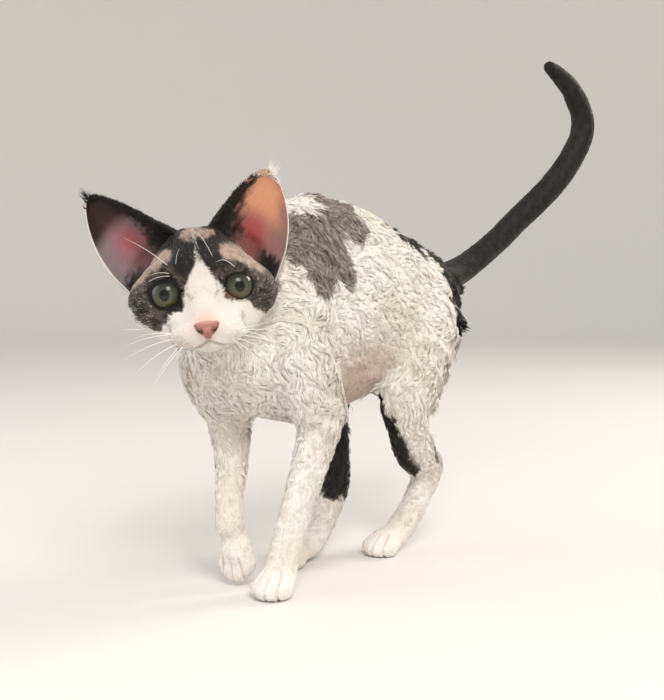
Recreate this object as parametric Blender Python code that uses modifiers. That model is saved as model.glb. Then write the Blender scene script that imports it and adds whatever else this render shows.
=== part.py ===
"""A young devon rex cat at life size, standing with its right forepaw lifted and its tail raised.

The cat faces -Y, its left side is +X and it stands on z = 0. Sizes are in millimetres until a mesh is made.
The flesh is modelled as lofts and ellipsoids that overlap, fused by a voxel remesh, smoothed, and parted
into named pieces by cuts 0.3 mm wide. The ears, eyes and nose are pieces of their own.
"""

import math

import bmesh
import bpy
import numpy as np
from mathutils import Euler, Matrix, Vector
from mathutils.bvhtree import BVHTree

MM = 0.001
GAP = 0.3
FAR = 700.0

# Driving dimensions
WITHERS = 243.0
CHEST_FLOOR = 96.0
CHEST_HALF_WIDTH = 38.0
TAIL_RADIUS = 12.0
PAW_HALF_WIDTH = 13.0
EYE_RADIUS = 9.6
LID_THICKNESS = 2.0
EYE_OPENING = (7.9, 7.3)
EAR_THICKNESS = 1.7
EAR_DEPTH = 19.0
EAR_GRID = 10

# The fused flesh is remeshed at this size, then thinned to so many triangles for the head and for the rest
VOXEL = 1.7
HEAD_TRIANGLES = 3100
BODY_TRIANGLES = 5360

# The head turns towards the viewer: yaw to its left, chin a little down, left eye higher
HEAD_CENTRE = Vector((5.9, -40.6, 185.0))
HEAD_YAW, HEAD_PITCH, HEAD_ROLL = 44.0, 3.0, -7.0
HEAD_FRAME = Matrix.Translation(HEAD_CENTRE) @ (
    Matrix.Rotation(math.radians(HEAD_YAW), 4, "Z")
    @ Matrix.Rotation(math.radians(HEAD_PITCH), 4, "X")
    @ Matrix.Rotation(math.radians(HEAD_ROLL), 4, "Y")
)

# The trunk at stations down its length: y, back height, belly height, half width, sideways shift
TRUNK = [
    (-18, 186, 124, 22, 0),
    (0, 206, 106, 31, 0),
    (30, 232, CHEST_FLOOR, 36, 0),
    (60, WITHERS, 98, CHEST_HALF_WIDTH, 0),
    (88, WITHERS, 102, 39, 0),
    (115, 237, 108, 38, 0),
    (145, 227, 116, 35, 1),
    (175, 217, 127, 33, 2),
    (202, 209, 141, 27, 2),
    (215, 203, 154, 20, 2),
    (223, 197, 168, 14, 2),
]

# A limb or neck is a path of stations: x, y, z, half width across, half depth fore and aft
NECK = [
    (0, 40, 202, 30, 32),
    (1, 14, 188, 27, 25),
    (3, -10, 181, 24, 21),
    (5, -32, 177, 22, 19),
]
FORE_LEFT = [
    (18, 44, 218, 11, 20),
    (26, 32, 190, 16, 24),
    (30, 16, 158, 17, 24),
    (31, 24, 128, 16, 21),
    (30, 36, 103, 13, 17),
    (27, 31, 78, 11.5, 13),
    (23, 22, 50, 10.5, 11.5),
    (20, 15, 26, 10.8, 11.2),
    (19, 12, 12, 11, 11),
]
FORE_RIGHT = [
    (-17, 42, 218, 11, 20),
    (-24, 24, 190, 16, 26),
    (-27, 5, 158, 17, 28),
    (-27, 5, 134, 17, 26),
    (-27, 16, 106, 13, 18),
    (-23, 15, 78, 10.5, 12.5),
    (-19, 8, 55, 9.8, 10.5),
    (-16.5, 5, 38, 10, 10.5),
]
HIND_LEFT = [
    (16, 191, 178, 16, 25),
    (22, 175, 160, 19, 31),
    (27, 153, 136, 18, 29),
    (28, 138, 112, 17, 25),
    (26, 142, 90, 13.5, 18),
    (24, 152, 70, 11.5, 16),
    (23, 173, 54, 10.4, 14),
    (21, 165, 36, 9.8, 10.5),
    (18, 150, 18, 10.5, 10),
    (16, 140, 10, 11, 9),
]
HIND_RIGHT = [
    (-15, 196, 178, 17, 28),
    (-22, 174, 158, 20, 33),
    (-27, 142, 134, 18, 29),
    (-27, 117, 113, 15, 22),
    (-24, 116, 90, 12, 15),
    (-21, 119, 64, 10.5, 11.5),
    (-20, 120, 44, 10, 11),
    (-19, 108, 28, 9.8, 10),
    (-17, 90, 13, 10.5, 9.5),
    (-16, 80, 9, 11, 9),
]
UPPER_LEGS = {
    "shoulder_left": FORE_LEFT,
    "shoulder_right": FORE_RIGHT,
    "thigh_left": HIND_LEFT,
    "thigh_right": HIND_RIGHT,
}
FLANK_PLANE = 13.0
HEAD_CUT = (1, -21, 182), (0.3, -0.9, 0.32)
# The tail leaves the rump upwards to the cat's left and hooks forward at its tip
TAIL = [
    (1, 222, 188, 15, 14),
    (6, 248, 197, TAIL_RADIUS, TAIL_RADIUS),
    (16, 280, 217, 11.2, 11.2),
    (27, 306, 240, 11.4, 11.4),
    (39, 330, 262, 11.6, 11.6),
    (49, 350, 288, 11.4, 11.4),
    (55, 359, 315, 10.8, 10.8),
    (51, 343, 342, 9.6, 9.6),
    (43, 318, 358, 7.0, 7.0),
]

# A paw: where its palm is, its yaw to the cat's left, and its pitch toes down
PAWS = {
    "forepaw_left": ((19, 8, 8.6), 18, 0),
    "forepaw_right": ((-13.5, 8.5, 23), 10, 74),
    "hindpaw_left": ((15.5, 131, 8.5), 4, 0),
    "hindpaw_right": ((-16, 68, 8.5), 6, 0),
}
TOE_SPREAD = ((-9.6, -9.0), (-3.5, -13.5), (3.5, -13.5), (9.6, -9.0))

# Head forms in the head's own frame: centre, radii. The eye line is z = 0 and the face is at -y.
SKULL_FORMS = [
    ((0, 5, 4), (31, 35, 31)),
    ((0, -9, 13), (22, 20, 18)),
    ((0, -29, -19), (14, 15, 9)),
    ((0, -31, -26.5), (9.5, 9.5, 6)),
    ((0, 2, -16), (22, 24, 15)),
]
SKULL_PAIRS = [
    ((26, -2, -3), (16.5, 21, 17)),
    ((20, -9, 5), (15.5, 17.5, 15)),
    ((17.5, -9, -14.5), (14, 19, 13)),
    ((14, -14, 14), (13, 11, 8.5)),
    ((12, -21, -12), (12.5, 13, 9.5)),
    ((10, -33, -20), (11.6, 11, 8.6)),
]
NOSE_BRIDGE = [
    (0, -15, 10, 11, 9),
    (0, -27, -1, 9.5, 7),
    (0, -38, -11, 8, 6),
    (0, -43, -16, 7, 5.5),
]

NOSE_CENTRE = Vector((0, -44.0, -16.4))
EYE_CENTRES = {"left": Vector((19.0, -18.6, 1.8)), "right": Vector((-19.0, -18.6, 1.8))}
EYE_DIVERGENCE = 9.0

# A lip's radius and how far its middle lies under the skin, and half of the mouth line from the foot of the
# nose to the corner of the mouth
LIP = (1.5, -0.9)
MOUTH = [(0, -44, -21), (0, -43, -25), (3.2, -42, -27.2), (7.5, -39, -28.8), (12, -35, -28.3), (16, -29, -26)]

# Each ear: its tip, the root of its inner edge, the root of its outer edge, how round its tip is, and how
# far it bows outwards
EARS = {
    "left": ((48, 12, 61), (9, 2, 32), (46, 12, 8), 1.9, 1.0),
    "right": ((-57, 12, 58), (-9, 2, 30), (-43, 12, 6), 1.7, 1.5),
}

# The wavy coat: half length, half width and half thickness of a clump and of the fringe behind the legs, the
# clumps' spacing along and across their lie, and how far their tips tilt up, in degrees
CURL = (12.0, 4.8, 3.2)
FRINGE = (11.0, 4.2, 3.4)
CURL_SPACING = (17.0, 11.5)
CURL_TILT, FRINGE_TILT = 7.0, 24.0
# A lock of the tuft on an ear's tip: length, half width and half thickness
EAR_TUFT = (12, 2.4, 1.0)

WHITE_COAT, DARK_COAT = (0.82, 0.78, 0.72), (0.03, 0.028, 0.027)
EYE_GREEN, NOSE_PINK = (0.16, 0.2, 0.15), (0.72, 0.33, 0.31)


def clear_scene():
    """Removes what is in the file and makes the two collections."""
    for obj in list(bpy.data.objects):
        bpy.data.objects.remove(obj)
    cat = bpy.data.collections.new("devon_rex_cat")
    tools = bpy.data.collections.new("cutters")
    for collection in (cat, tools):
        bpy.context.scene.collection.children.link(collection)
    tools.hide_render = True
    return cat, tools


CAT, TOOLS = clear_scene()


def new_object(name, mesh):
    obj = bpy.data.objects.new(name, mesh)
    TOOLS.objects.link(obj)
    return obj


def mesh_from(name, points, faces):
    """A mesh object from points in millimetres."""
    mesh = bpy.data.meshes.new(name)
    mesh.from_pydata([tuple(float(v) * MM for v in p) for p in points], [], faces)
    return new_object(name, mesh)


def spline(rows, per_span):
    """Rows of numbers read along a Catmull-Rom curve through them."""
    rows = np.array(rows, float)
    padded = np.vstack([2 * rows[0] - rows[1], rows, 2 * rows[-1] - rows[-2]])
    out = []
    for i in range(len(rows) - 1):
        a, b, c, d = padded[i : i + 4]
        for t in np.arange(per_span) / per_span:
            bend = 2 * a - 5 * b + 4 * c - d
            twist = 3 * b - a - 3 * c + d
            out.append(b + ((c - a) * t + bend * t**2 + twist * t**3) / 2)
    out.append(rows[-1])
    return np.array(out)


def loft(name, stations, per_span=4, sides=24, round_ends=0.8):
    """A closed tube of elliptical rings along the stations, with rounded ends."""
    rows = spline(stations, per_span)
    centres, radii = rows[:, :3], rows[:, 3:5]
    tangents = np.gradient(centres, axis=0)
    tangents /= np.linalg.norm(tangents, axis=1)[:, None]
    rings = []
    for at, end in ((0, -1), (len(rows) - 1, 1)):
        reach = radii[at].mean() * round_ends
        cap = [
            (centres[at] + end * tangents[at] * reach * math.sin(a), tangents[at], radii[at] * math.cos(a))
            for a in (math.radians(30), math.radians(58), math.radians(80))
        ]
        rings.append(cap if end > 0 else cap[::-1])
    middle = list(zip(centres, tangents, radii))
    points, faces = [], []
    for centre, tangent, (across, deep) in rings[0] + middle + rings[1]:
        side = np.array((1.0, 0, 0)) - tangent * tangent[0]
        side /= np.linalg.norm(side)
        up = np.cross(tangent, side)
        for a in np.arange(sides) * 2 * math.pi / sides:
            points.append(centre + side * across * math.cos(a) + up * deep * math.sin(a))
    count = len(points) // sides
    for i in range(count - 1):
        for j in range(sides):
            k = (j + 1) % sides
            faces.append((i * sides + j, i * sides + k, (i + 1) * sides + k, (i + 1) * sides + j))
    faces.append(tuple(range(sides))[::-1])
    faces.append(tuple((count - 1) * sides + j for j in range(sides)))
    return facing_out(mesh_from(name, points, faces))


def facing_out(obj):
    """Turns the faces of a closed mesh outwards."""
    bm = bmesh.new()
    bm.from_mesh(obj.data)
    bmesh.ops.recalc_face_normals(bm, faces=bm.faces)
    if bm.calc_volume(signed=True) < 0:
        bmesh.ops.reverse_faces(bm, faces=bm.faces)
    bm.to_mesh(obj.data)
    bm.free()
    return obj


def ellipsoid(name, centre, radii, frame=Matrix(), turn=(0, 0, 0), rings=16):
    """An ellipsoid in a frame, turned by Euler angles in degrees about its own centre."""
    bm = bmesh.new()
    bmesh.ops.create_uvsphere(bm, u_segments=rings * 2, v_segments=rings, radius=1.0)
    spin = Euler([math.radians(v) for v in turn]).to_matrix().to_4x4()
    place = frame @ Matrix.Translation(centre) @ spin @ Matrix.Diagonal((*radii, 1.0))
    bm.transform(Matrix.Scale(MM, 4) @ place)
    mesh = bpy.data.meshes.new(name)
    bm.to_mesh(mesh)
    bm.free()
    return new_object(name, mesh)


def box(name, low, high, frame=Matrix()):
    """A box between two corners of a frame."""
    bm = bmesh.new()
    bmesh.ops.create_cube(bm, size=1.0)
    low, high = Vector(low), Vector(high)
    place = frame @ Matrix.Translation((low + high) / 2) @ Matrix.Diagonal((*(high - low), 1.0))
    bm.transform(Matrix.Scale(MM, 4) @ place)
    mesh = bpy.data.meshes.new(name)
    bm.to_mesh(mesh)
    bm.free()
    return new_object(name, mesh)


def half_space(name, point, normal, shift=0.0):
    """A huge box that fills the side of a plane to which its normal points, moved along the normal."""
    normal = Vector(normal).normalized()
    turn = normal.to_track_quat("Z", "Y").to_matrix().to_4x4()
    frame = Matrix.Translation(Vector(point) + normal * shift) @ turn
    return box(name, (-FAR, -FAR, 0), (FAR, FAR, FAR), frame)


def evaluated_mesh(obj):
    graph = bpy.context.evaluated_depsgraph_get()
    return bpy.data.meshes.new_from_object(obj.evaluated_get(graph), depsgraph=graph)


def apply_modifiers(obj):
    mesh = evaluated_mesh(obj)
    obj.modifiers.clear()
    obj.data = mesh
    return obj


def join(name, objects):
    """One object that holds the meshes of several; they may overlap."""
    bm = bmesh.new()
    for obj in objects:
        bm.from_mesh(obj.data)
        bpy.data.objects.remove(obj)
    mesh = bpy.data.meshes.new(name)
    bm.to_mesh(mesh)
    bm.free()
    return new_object(name, mesh)


def boolean(obj, other, operation):
    """Cuts, clips or joins obj by another object, which is then removed."""
    modifier = obj.modifiers.new(operation.lower(), "BOOLEAN")
    modifier.solver = "MANIFOLD"
    modifier.operation = operation
    modifier.object = other
    apply_modifiers(obj)
    bpy.data.objects.remove(other)
    return obj


def fuse(obj, pieces):
    """Joins pieces to obj by one Boolean union on a collection of them."""
    group = bpy.data.collections.new("pieces_of_" + obj.name)
    TOOLS.children.link(group)
    for piece in pieces:
        group.objects.link(piece)
    modifier = obj.modifiers.new("fuse", "BOOLEAN")
    modifier.solver = "MANIFOLD"
    modifier.operation = "UNION"
    modifier.operand_type = "COLLECTION"
    modifier.collection = group
    apply_modifiers(obj)
    for piece in pieces:
        bpy.data.objects.remove(piece)
    bpy.data.collections.remove(group)
    return largest_part(obj)


def surface_of(obj):
    """The surface of a mesh in millimetres, for finding places on it."""
    corners = [vertex.co / MM for vertex in obj.data.vertices]
    return BVHTree.FromPolygons(corners, [face.vertices for face in obj.data.polygons])


def copy_of(obj, name):
    return new_object(name, obj.data.copy())


def loose_parts(bm):
    """The connected sets of faces of a mesh, largest first."""
    left, parts = set(bm.faces), []
    while left:
        stack = [left.pop()]
        part = list(stack)
        while stack:
            for edge in stack.pop().edges:
                for face in edge.link_faces:
                    if face in left:
                        left.remove(face)
                        stack.append(face)
                        part.append(face)
        parts.append(part)
    return sorted(parts, key=lambda part: -sum(f.calc_area() for f in part))


def keep_part(obj, chosen):
    """Keeps one connected part of a mesh, by its place in the list of parts."""
    bm = bmesh.new()
    bm.from_mesh(obj.data)
    parts = loose_parts(bm)
    drop = [f for i, part in enumerate(parts) if i != chosen for f in part]
    bmesh.ops.delete(bm, geom=drop, context="FACES")
    bm.to_mesh(obj.data)
    bm.free()
    return obj


def largest_part(obj):
    return keep_part(obj, 0)


def split(obj, name, point, normal):
    """Cuts off the part of obj ahead of a plane into a new object; both sides step back half the gap."""
    piece = copy_of(obj, name)
    boolean(piece, half_space("ahead", point, normal, GAP / 2), "INTERSECT")
    boolean(obj, half_space("ahead", point, normal, -GAP / 2), "DIFFERENCE")
    largest_part(obj)
    return largest_part(piece)


def split_region(obj, name, make_region):
    """Cuts the part of obj inside a closed region into a new object. make_region(grow) makes the region."""
    piece = copy_of(obj, name)
    boolean(piece, make_region(0.0), "INTERSECT")
    boolean(obj, make_region(GAP), "DIFFERENCE")
    largest_part(obj)
    return largest_part(piece)


def centre_of(faces):
    total = Vector()
    for face in faces:
        total += face.calc_center_median()
    return total / len(faces)


def paw_forms(name):
    """Palm and four toes of a paw, as ellipsoids in the paw's frame."""
    place, yaw, pitch = PAWS[name]
    frame = Matrix.Translation(place) @ (
        Matrix.Rotation(math.radians(yaw), 4, "Z") @ Matrix.Rotation(math.radians(pitch), 4, "X")
    )
    forms = [ellipsoid("palm", (0, 0, 0), (PAW_HALF_WIDTH - 1, 13, 10), frame)]
    for x, y in TOE_SPREAD:
        forms.append(ellipsoid("toe", (x, y, -3.0), (4.6, 8.0, 6.6), frame, turn=(0, 0, -x * 1.6)))
    return forms


def trunk_form():
    """The trunk, from its stations down the back."""
    rows = [(shift, y, (top + low) / 2, half, (top - low) / 2) for y, top, low, half, shift in TRUNK]
    return loft("trunk", rows, sides=32)


def head_forms():
    forms = [ellipsoid("skull", centre, radii, HEAD_FRAME) for centre, radii in SKULL_FORMS]
    for (x, y, z), radii in SKULL_PAIRS:
        forms += [ellipsoid("skull", (side * x, y, z), radii, HEAD_FRAME) for side in (1, -1)]
    bridge = loft("bridge", NOSE_BRIDGE)
    bridge.data.transform(Matrix.Scale(MM, 4) @ HEAD_FRAME @ Matrix.Scale(1 / MM, 4))
    return forms + [bridge]


def eye_direction(side):
    """The way an eye looks, in the head's frame."""
    turn = math.radians(EYE_DIVERGENCE if side == "left" else -EYE_DIVERGENCE)
    return Vector((math.sin(turn), -math.cos(turn), 0))


def eye_frame(side):
    """A frame at an eye whose -y looks ahead and whose x is the cat's left."""
    turn = math.radians(EYE_DIVERGENCE if side == "left" else -EYE_DIVERGENCE)
    return HEAD_FRAME @ Matrix.Translation(EYE_CENTRES[side]) @ Matrix.Rotation(turn, 4, "Z")


def broad_weight(points):
    """1 on the body, falling to 0 on the face and the paws, which keep their small forms."""
    face = np.array(HEAD_FRAME @ Vector((0, -20, -4)))
    near_face = 1.9 - np.linalg.norm(points - face, axis=1) / 34.0
    near_floor = 1.6 - points[:, 2] / 16.0
    near_lifted = 1.6 - np.linalg.norm(points - np.array(PAWS["forepaw_right"][0]), axis=1) / 18.0
    return 1 - np.clip(np.maximum(near_face, np.maximum(near_floor, near_lifted)), 0, 1)


def flesh():
    """Head, neck, trunk, legs and tail as one smooth closed surface with flat soles at z = 0."""
    forms = [trunk_form(), loft("neck", NECK), loft("tail", TAIL, sides=20)]
    forms += [loft("limb", stations) for stations in (FORE_LEFT, FORE_RIGHT, HIND_LEFT, HIND_RIGHT)]
    forms += head_forms()
    for side in ("left", "right"):
        forms.append(ellipsoid("orbit", EYE_CENTRES[side], [EYE_RADIUS + LID_THICKNESS] * 3, HEAD_FRAME))
    for name in PAWS:
        forms += paw_forms(name)
    body = fused_smoothly(join("flesh", forms), (("", 0.5, 6), ("broad", 0.6, 24)))
    return fused_smoothly(join("flesh", [body] + clumps(body)), (("", 0.5, 3),))


def fused_smoothly(body, smoothing):
    """Makes overlapping closed meshes one surface and evens it. The smoothing is (where, factor, rounds)."""
    remesh = body.modifiers.new("fuse", "REMESH")
    remesh.mode = "VOXEL"
    remesh.voxel_size = VOXEL * MM
    apply_modifiers(body)
    points = np.empty(len(body.data.vertices) * 3)
    body.data.vertices.foreach_get("co", points)
    group = body.vertex_groups.new(name="broad")
    for index, weight in enumerate(broad_weight(points.reshape(-1, 3) / MM)):
        group.add([index], float(weight), "REPLACE")
    for name, factor, rounds in smoothing:
        smooth = body.modifiers.new("smooth", "SMOOTH")
        smooth.factor, smooth.iterations, smooth.vertex_group = factor, rounds, name
    apply_modifiers(body)
    body.vertex_groups.clear()
    return body


def clump(place, normal, lie, radii, tilt):
    """A rounded clump of wavy hair along its lie, its root sunk and its tip a little proud."""
    up = Vector(normal).normalized()
    ahead = Vector(lie)
    ahead = (ahead - up * ahead.dot(up)).normalized()
    turn = Matrix((ahead, up.cross(ahead), up)).transposed().to_4x4()
    frame = Matrix.Translation(Vector(place) - up * radii[2] * 0.3) @ turn
    return ellipsoid("clump", (0, 0, 0), radii, frame, turn=(0, -tilt, 0), rings=6)


def clumps(body):
    """The wavy coat of the trunk and the upper legs: clumps set close, longer at the legs' rear edges."""
    tree = surface_of(body)
    along, across = CURL_SPACING
    found = []

    def put(start, way, lie, swing):
        place, normal = tree.ray_cast(Vector(start), Vector(way))[:2]
        if place is None or normal.dot(Vector(way)) > -0.5:
            return
        size = [v * (1 + 0.18 * swing) for v in CURL]
        found.append(clump(place, normal, lie, size, CURL_TILT))

    for row in range(12):
        z = 104 + across * row
        for column in range(13):
            swing = math.sin(4.1 * column + 2.3 * row)
            y = 14 + along * (column + 0.5 * (row % 2) + 0.15 * swing)
            bare_belly = 62 < y < 135 and z < 122
            if not bare_belly:
                for sign in (1, -1):
                    lie = (0, 1, -0.75 + 0.45 * math.sin(0.9 * column + 1.7 * row))
                    put((sign * 150, y, z + 2 * swing), (-sign, 0, 0), lie, swing)
    for row, x in enumerate((-17, 0, 17)):
        for column in range(10):
            swing = math.sin(3.7 * column + 1.9 * row)
            y = 50 + along * (column + 0.5 * (row % 2))
            put((x + 2 * swing, y, 400), (0, 0, -1), (0.35 * swing, 1, 0), swing)
    for name, stations in UPPER_LEGS.items():
        rows = spline(stations, 6)
        low, high = (100, 150) if name.startswith("shoulder") else (76, 156)
        for row, z in enumerate(range(low, high, 10)):
            x, y, _, wide, deep = rows[np.abs(rows[:, 2] - z).argmin()]
            swing = math.sin(2.4 * row + low)
            edge = (x + 0.35 * wide * swing, y + deep - 1.5, z)
            found.append(clump(edge, (0, 1, 0.3), (0, 0.2, -1), FRINGE, FRINGE_TILT))
    return found


def thinned_part(obj, name, point, normal, triangles):
    """The part of a closed mesh ahead of a plane, thinned to about so many triangles and closed again."""
    bm = bmesh.new()
    bm.from_mesh(obj.data)
    cut = dict(plane_co=Vector(point) * MM, plane_no=Vector(normal), clear_inner=True)
    bmesh.ops.bisect_plane(bm, geom=[*bm.verts, *bm.edges, *bm.faces], **cut)
    bmesh.ops.triangulate(bm, faces=bm.faces)
    mesh = bpy.data.meshes.new(name)
    bm.to_mesh(mesh)
    bm.free()
    part = new_object(name, mesh)
    decimate = part.modifiers.new("fewer", "DECIMATE")
    decimate.ratio = triangles / len(mesh.polygons)
    apply_modifiers(part)
    bm = bmesh.new()
    bm.from_mesh(part.data)
    bmesh.ops.holes_fill(bm, edges=[edge for edge in bm.edges if edge.is_boundary])
    bmesh.ops.triangulate(bm, faces=bm.faces)
    bm.to_mesh(part.data)
    bm.free()
    return largest_part(facing_out(part))


def eyeball(name, side, grow=0.0):
    """An eye: a ball with a slightly bulging cornea."""
    centre = EYE_CENTRES[side]
    ball = ellipsoid(name, centre, [EYE_RADIUS + grow] * 3, HEAD_FRAME, rings=8)
    cornea = [EYE_RADIUS - 2.0 + grow] * 3
    return fuse(ball, [ellipsoid("cornea", centre + eye_direction(side) * 2.6, cornea, HEAD_FRAME, rings=8)])


def eye_opening(side):
    """The cutter between the lids: an oval cone that widens forward, with the notch of the inner corner."""
    frame = eye_frame(side)
    inner = -1 if side == "left" else 1
    wide, tall = EYE_OPENING
    slope = Matrix.Rotation(math.radians(-inner * 10), 4, "Y")
    stations = [(0, -ahead, 0, wide * size, tall * size) for ahead, size in ((0, 0.8), (6, 1.0), (16, 1.35))]
    cone = loft("opening", stations, per_span=1, sides=24, round_ends=0.01)
    cone.data.transform(Matrix.Scale(MM, 4) @ frame @ slope @ Matrix.Scale(1 / MM, 4))
    place = (inner * 7.6, -7.5, -3.2)
    corner = ellipsoid("corner", place, (2.8, 6.0, 1.2), frame, turn=(0, -inner * 28, 0), rings=6)
    return fuse(cone, [corner])


def ear_sheet(side, rows=EAR_GRID, columns=EAR_GRID):
    """The points of an ear's cupped sheet, in rows from below its root to its tip, and its faces."""
    tip, inner, outer = (Vector(place) for place in EARS[side][:3])
    roundness, bow = EARS[side][3:]
    base = (inner + outer) / 2
    half = (outer - inner) / 2
    back = Vector((0, 0.93, 0.37))
    root = 0.25
    points, faces = [], []
    for i in range(rows):
        rise = -root + (1 + root) * i / (rows - 1)
        v = max(rise, 0.0)
        spread = (1 - v**roundness) ** (0.55 + 0.3 / roundness) + 0.03
        opening = math.radians(94 - 40 * v)
        deep = EAR_DEPTH * (1 - v) ** 0.8 + 0.6
        for j in range(columns):
            u = 2 * j / (columns - 1) - 1
            across = math.sin(u * opening) / math.sin(min(opening, math.pi / 2))
            cup = deep * (math.cos(u * opening) - math.cos(opening)) / (1 - math.cos(opening))
            centre = base + (tip - base) * rise + half.normalized() * bow * math.sin(math.pi * v)
            points.append(HEAD_FRAME @ (centre + half * across * spread + back * cup))
    for i in range(rows - 1):
        for j in range(columns - 1):
            k = i * columns + j
            faces.append((k, k + 1, k + columns + 1, k + columns))
    return points, faces


def ear(side):
    """A cupped ear with a tuft of hair at its tip."""
    points, faces = ear_sheet(side)
    sheet = mesh_from("ear_" + side, points, faces)
    solid = sheet.modifiers.new("skin", "SOLIDIFY")
    solid.thickness = EAR_THICKNESS * MM
    solid.offset = 0.0
    facing_out(apply_modifiers(sheet))
    middle = EAR_GRID // 2
    tip = points[middle - EAR_GRID]
    ahead = (tip - points[middle - 2 * EAR_GRID]).normalized()
    across = (points[-1] - points[-EAR_GRID]).normalized()
    tufts = []
    for lean, reach in ((-0.3, 0.75), (-0.04, 1.1), (0.22, 0.8)):
        root = tip - ahead * 4.0 + across * lean * 5
        tufts.append(lock(root, across, (ahead + across * lean).normalized(), lean * 4, reach))
    return fuse(sheet, tufts)


def ear_hollow(side):
    """The convex space that an ear's cup encloses, a little larger, which the neck keeps out of."""
    bm = bmesh.new()
    for point in ear_sheet(side)[0]:
        bm.verts.new(point * MM)
    hull = bmesh.ops.convex_hull(bm, input=bm.verts)
    bmesh.ops.delete(bm, geom=hull["geom_interior"], context="VERTS")
    mesh = bpy.data.meshes.new("hollow")
    bm.to_mesh(mesh)
    bm.free()
    hollow = facing_out(new_object("hollow", mesh))
    larger = grown(hollow, EAR_THICKNESS / 2 + GAP)
    bpy.data.objects.remove(hollow)
    return larger


def lock(root, across, ahead, bend, reach):
    """A flat, tapered lock of hair that bends sideways on its way to its point; reach scales its length."""
    length, wide, deep = EAR_TUFT
    length *= reach
    up = ahead.cross(across)
    stations = []
    for t, thick in ((0.0, 0.5), (0.3, 1.0), (0.6, 0.8), (0.95, 0.15)):
        centre = root + ahead * length * t + across * bend * math.sin(math.pi * t)
        stations.append((centre, thick))
    sides = 5
    points, faces = [], []
    for centre, thick in stations:
        for k in range(sides):
            a = 2 * math.pi * k / sides
            points.append(centre + (across * wide * math.cos(a) + up * deep * math.sin(a)) * thick)
    for ring in range(len(stations) - 1):
        for k in range(sides):
            a, b = ring * sides + k, ring * sides + (k + 1) % sides
            faces.append((a, b, b + sides, a + sides))
    faces += [tuple(range(sides)), tuple(range(len(points) - sides, len(points)))]
    return facing_out(mesh_from("lock", points, faces))


def grown(obj, distance):
    """A copy of a closed mesh moved out along its normals."""
    copy = copy_of(obj, "grown")
    mesh = copy.data
    mesh.update()
    for vertex, normal in zip(mesh.vertices, [v.normal.copy() for v in mesh.vertices]):
        vertex.co += normal * distance * MM
    return copy


def nose_pad(grow=0.0):
    """The nose leather: a broad top, two wings and a foot that runs down to the lip."""
    forms = [
        ((0, 0.4, 0.9), (6.4, 4.2, 2.9)),
        ((0, 0, -1.4), (4.9, 4.1, 3.6)),
        ((4.6, 1.0, 0.2), (2.6, 3.0, 2.7)),
        ((-4.6, 1.0, 0.2), (2.6, 3.0, 2.7)),
        ((0, 0.6, -3.6), (2.5, 3.2, 3.2)),
    ]
    pieces = []
    for place, radii in forms:
        larger = [radius + grow for radius in radii]
        pieces.append(ellipsoid("nose", NOSE_CENTRE + Vector(place), larger, HEAD_FRAME, rings=5))
    return fuse(pieces[0], pieces[1:])


def nostrils():
    """Two comma-shaped cutters under the wings of the nose."""
    cutters = []
    for side in (1, -1):
        hole = NOSE_CENTRE + Vector((side * 3.6, -3.2, -0.9))
        slit = NOSE_CENTRE + Vector((side * 5.8, -1.6, -1.6))
        cutters.append(ellipsoid("nostril", hole, (1.6, 2.6, 1.1), HEAD_FRAME, rings=4))
        cutters.append(ellipsoid("slit", slit, (2.3, 2.4, 0.6), HEAD_FRAME, turn=(0, side * 24, 0), rings=4))
    return cutters


def on_surface(obj, outline, rise):
    """Points of the head's frame moved to the nearest places of a surface, and out of it by rise."""
    tree = surface_of(obj)
    found = []
    for point in outline:
        place, normal = tree.find_nearest(HEAD_FRAME @ Vector(point))[:2]
        found.append(place + normal * rise)
    return found


def roll(name, points, radius):
    """A round cord through points, as a closed mesh."""
    curve = bpy.data.curves.new(name, "CURVE")
    curve.dimensions = "3D"
    curve.bevel_depth, curve.bevel_resolution, curve.use_fill_caps = radius * MM, 1, True
    line = curve.splines.new("POLY")
    line.points.add(len(points) - 1)
    for point, place in zip(line.points, points):
        point.co = (*(place * MM), 1)
    obj = new_object(name, curve)
    mesh = evaluated_mesh(obj)
    bpy.data.objects.remove(obj)
    bm = bmesh.new()
    bm.from_mesh(mesh)
    bmesh.ops.remove_doubles(bm, verts=bm.verts, dist=0.00001)
    bm.to_mesh(mesh)
    bm.free()
    return facing_out(new_object(name, mesh))


def mouth_outline(side):
    """Half of the mouth line, from under the nose round the whisker pad to the corner."""
    return [(side * x, y, z) for x, y, z in spline(MOUTH, 2)]


def carve_mouth(head, skin):
    """A lower lip from corner to corner, upper lips, and the mouth line between them, laid along the skin."""
    right, left = mouth_outline(-1), mouth_outline(1)
    lower = [(x, y, z - LIP[0]) for x, y, z in right[:4:-1] + left[5:]]
    lips = [roll("lip", on_surface(skin, lower, LIP[1] - 0.3), LIP[0])]
    for half in (right, left):
        upper = [(x, y, z + LIP[0]) for x, y, z in half[5:]]
        lips.append(roll("lip", on_surface(skin, upper, LIP[1]), LIP[0]))
    fuse(head, lips)
    for half in (right, left):
        boolean(head, roll("mouth", on_surface(skin, half, 0.2), 0.8), "DIFFERENCE")


def open_face(head):
    """Cuts the eye sockets, the openings between the lids and the seat of the nose."""
    for side in ("left", "right"):
        boolean(head, eyeball("socket", side, GAP), "DIFFERENCE")
        boolean(head, eye_opening(side), "DIFFERENCE")
    boolean(head, nose_pad(GAP), "DIFFERENCE")
    return largest_part(head)


def paint(obj, colour, roughness):
    material = bpy.data.materials.new(obj.name)
    material.use_nodes = True
    shader = material.node_tree.nodes["Principled BSDF"]
    shader.inputs["Base Color"].default_value = (*colour, 1)
    shader.inputs["Roughness"].default_value = roughness
    obj.data.materials.clear()
    obj.data.materials.append(material)


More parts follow.
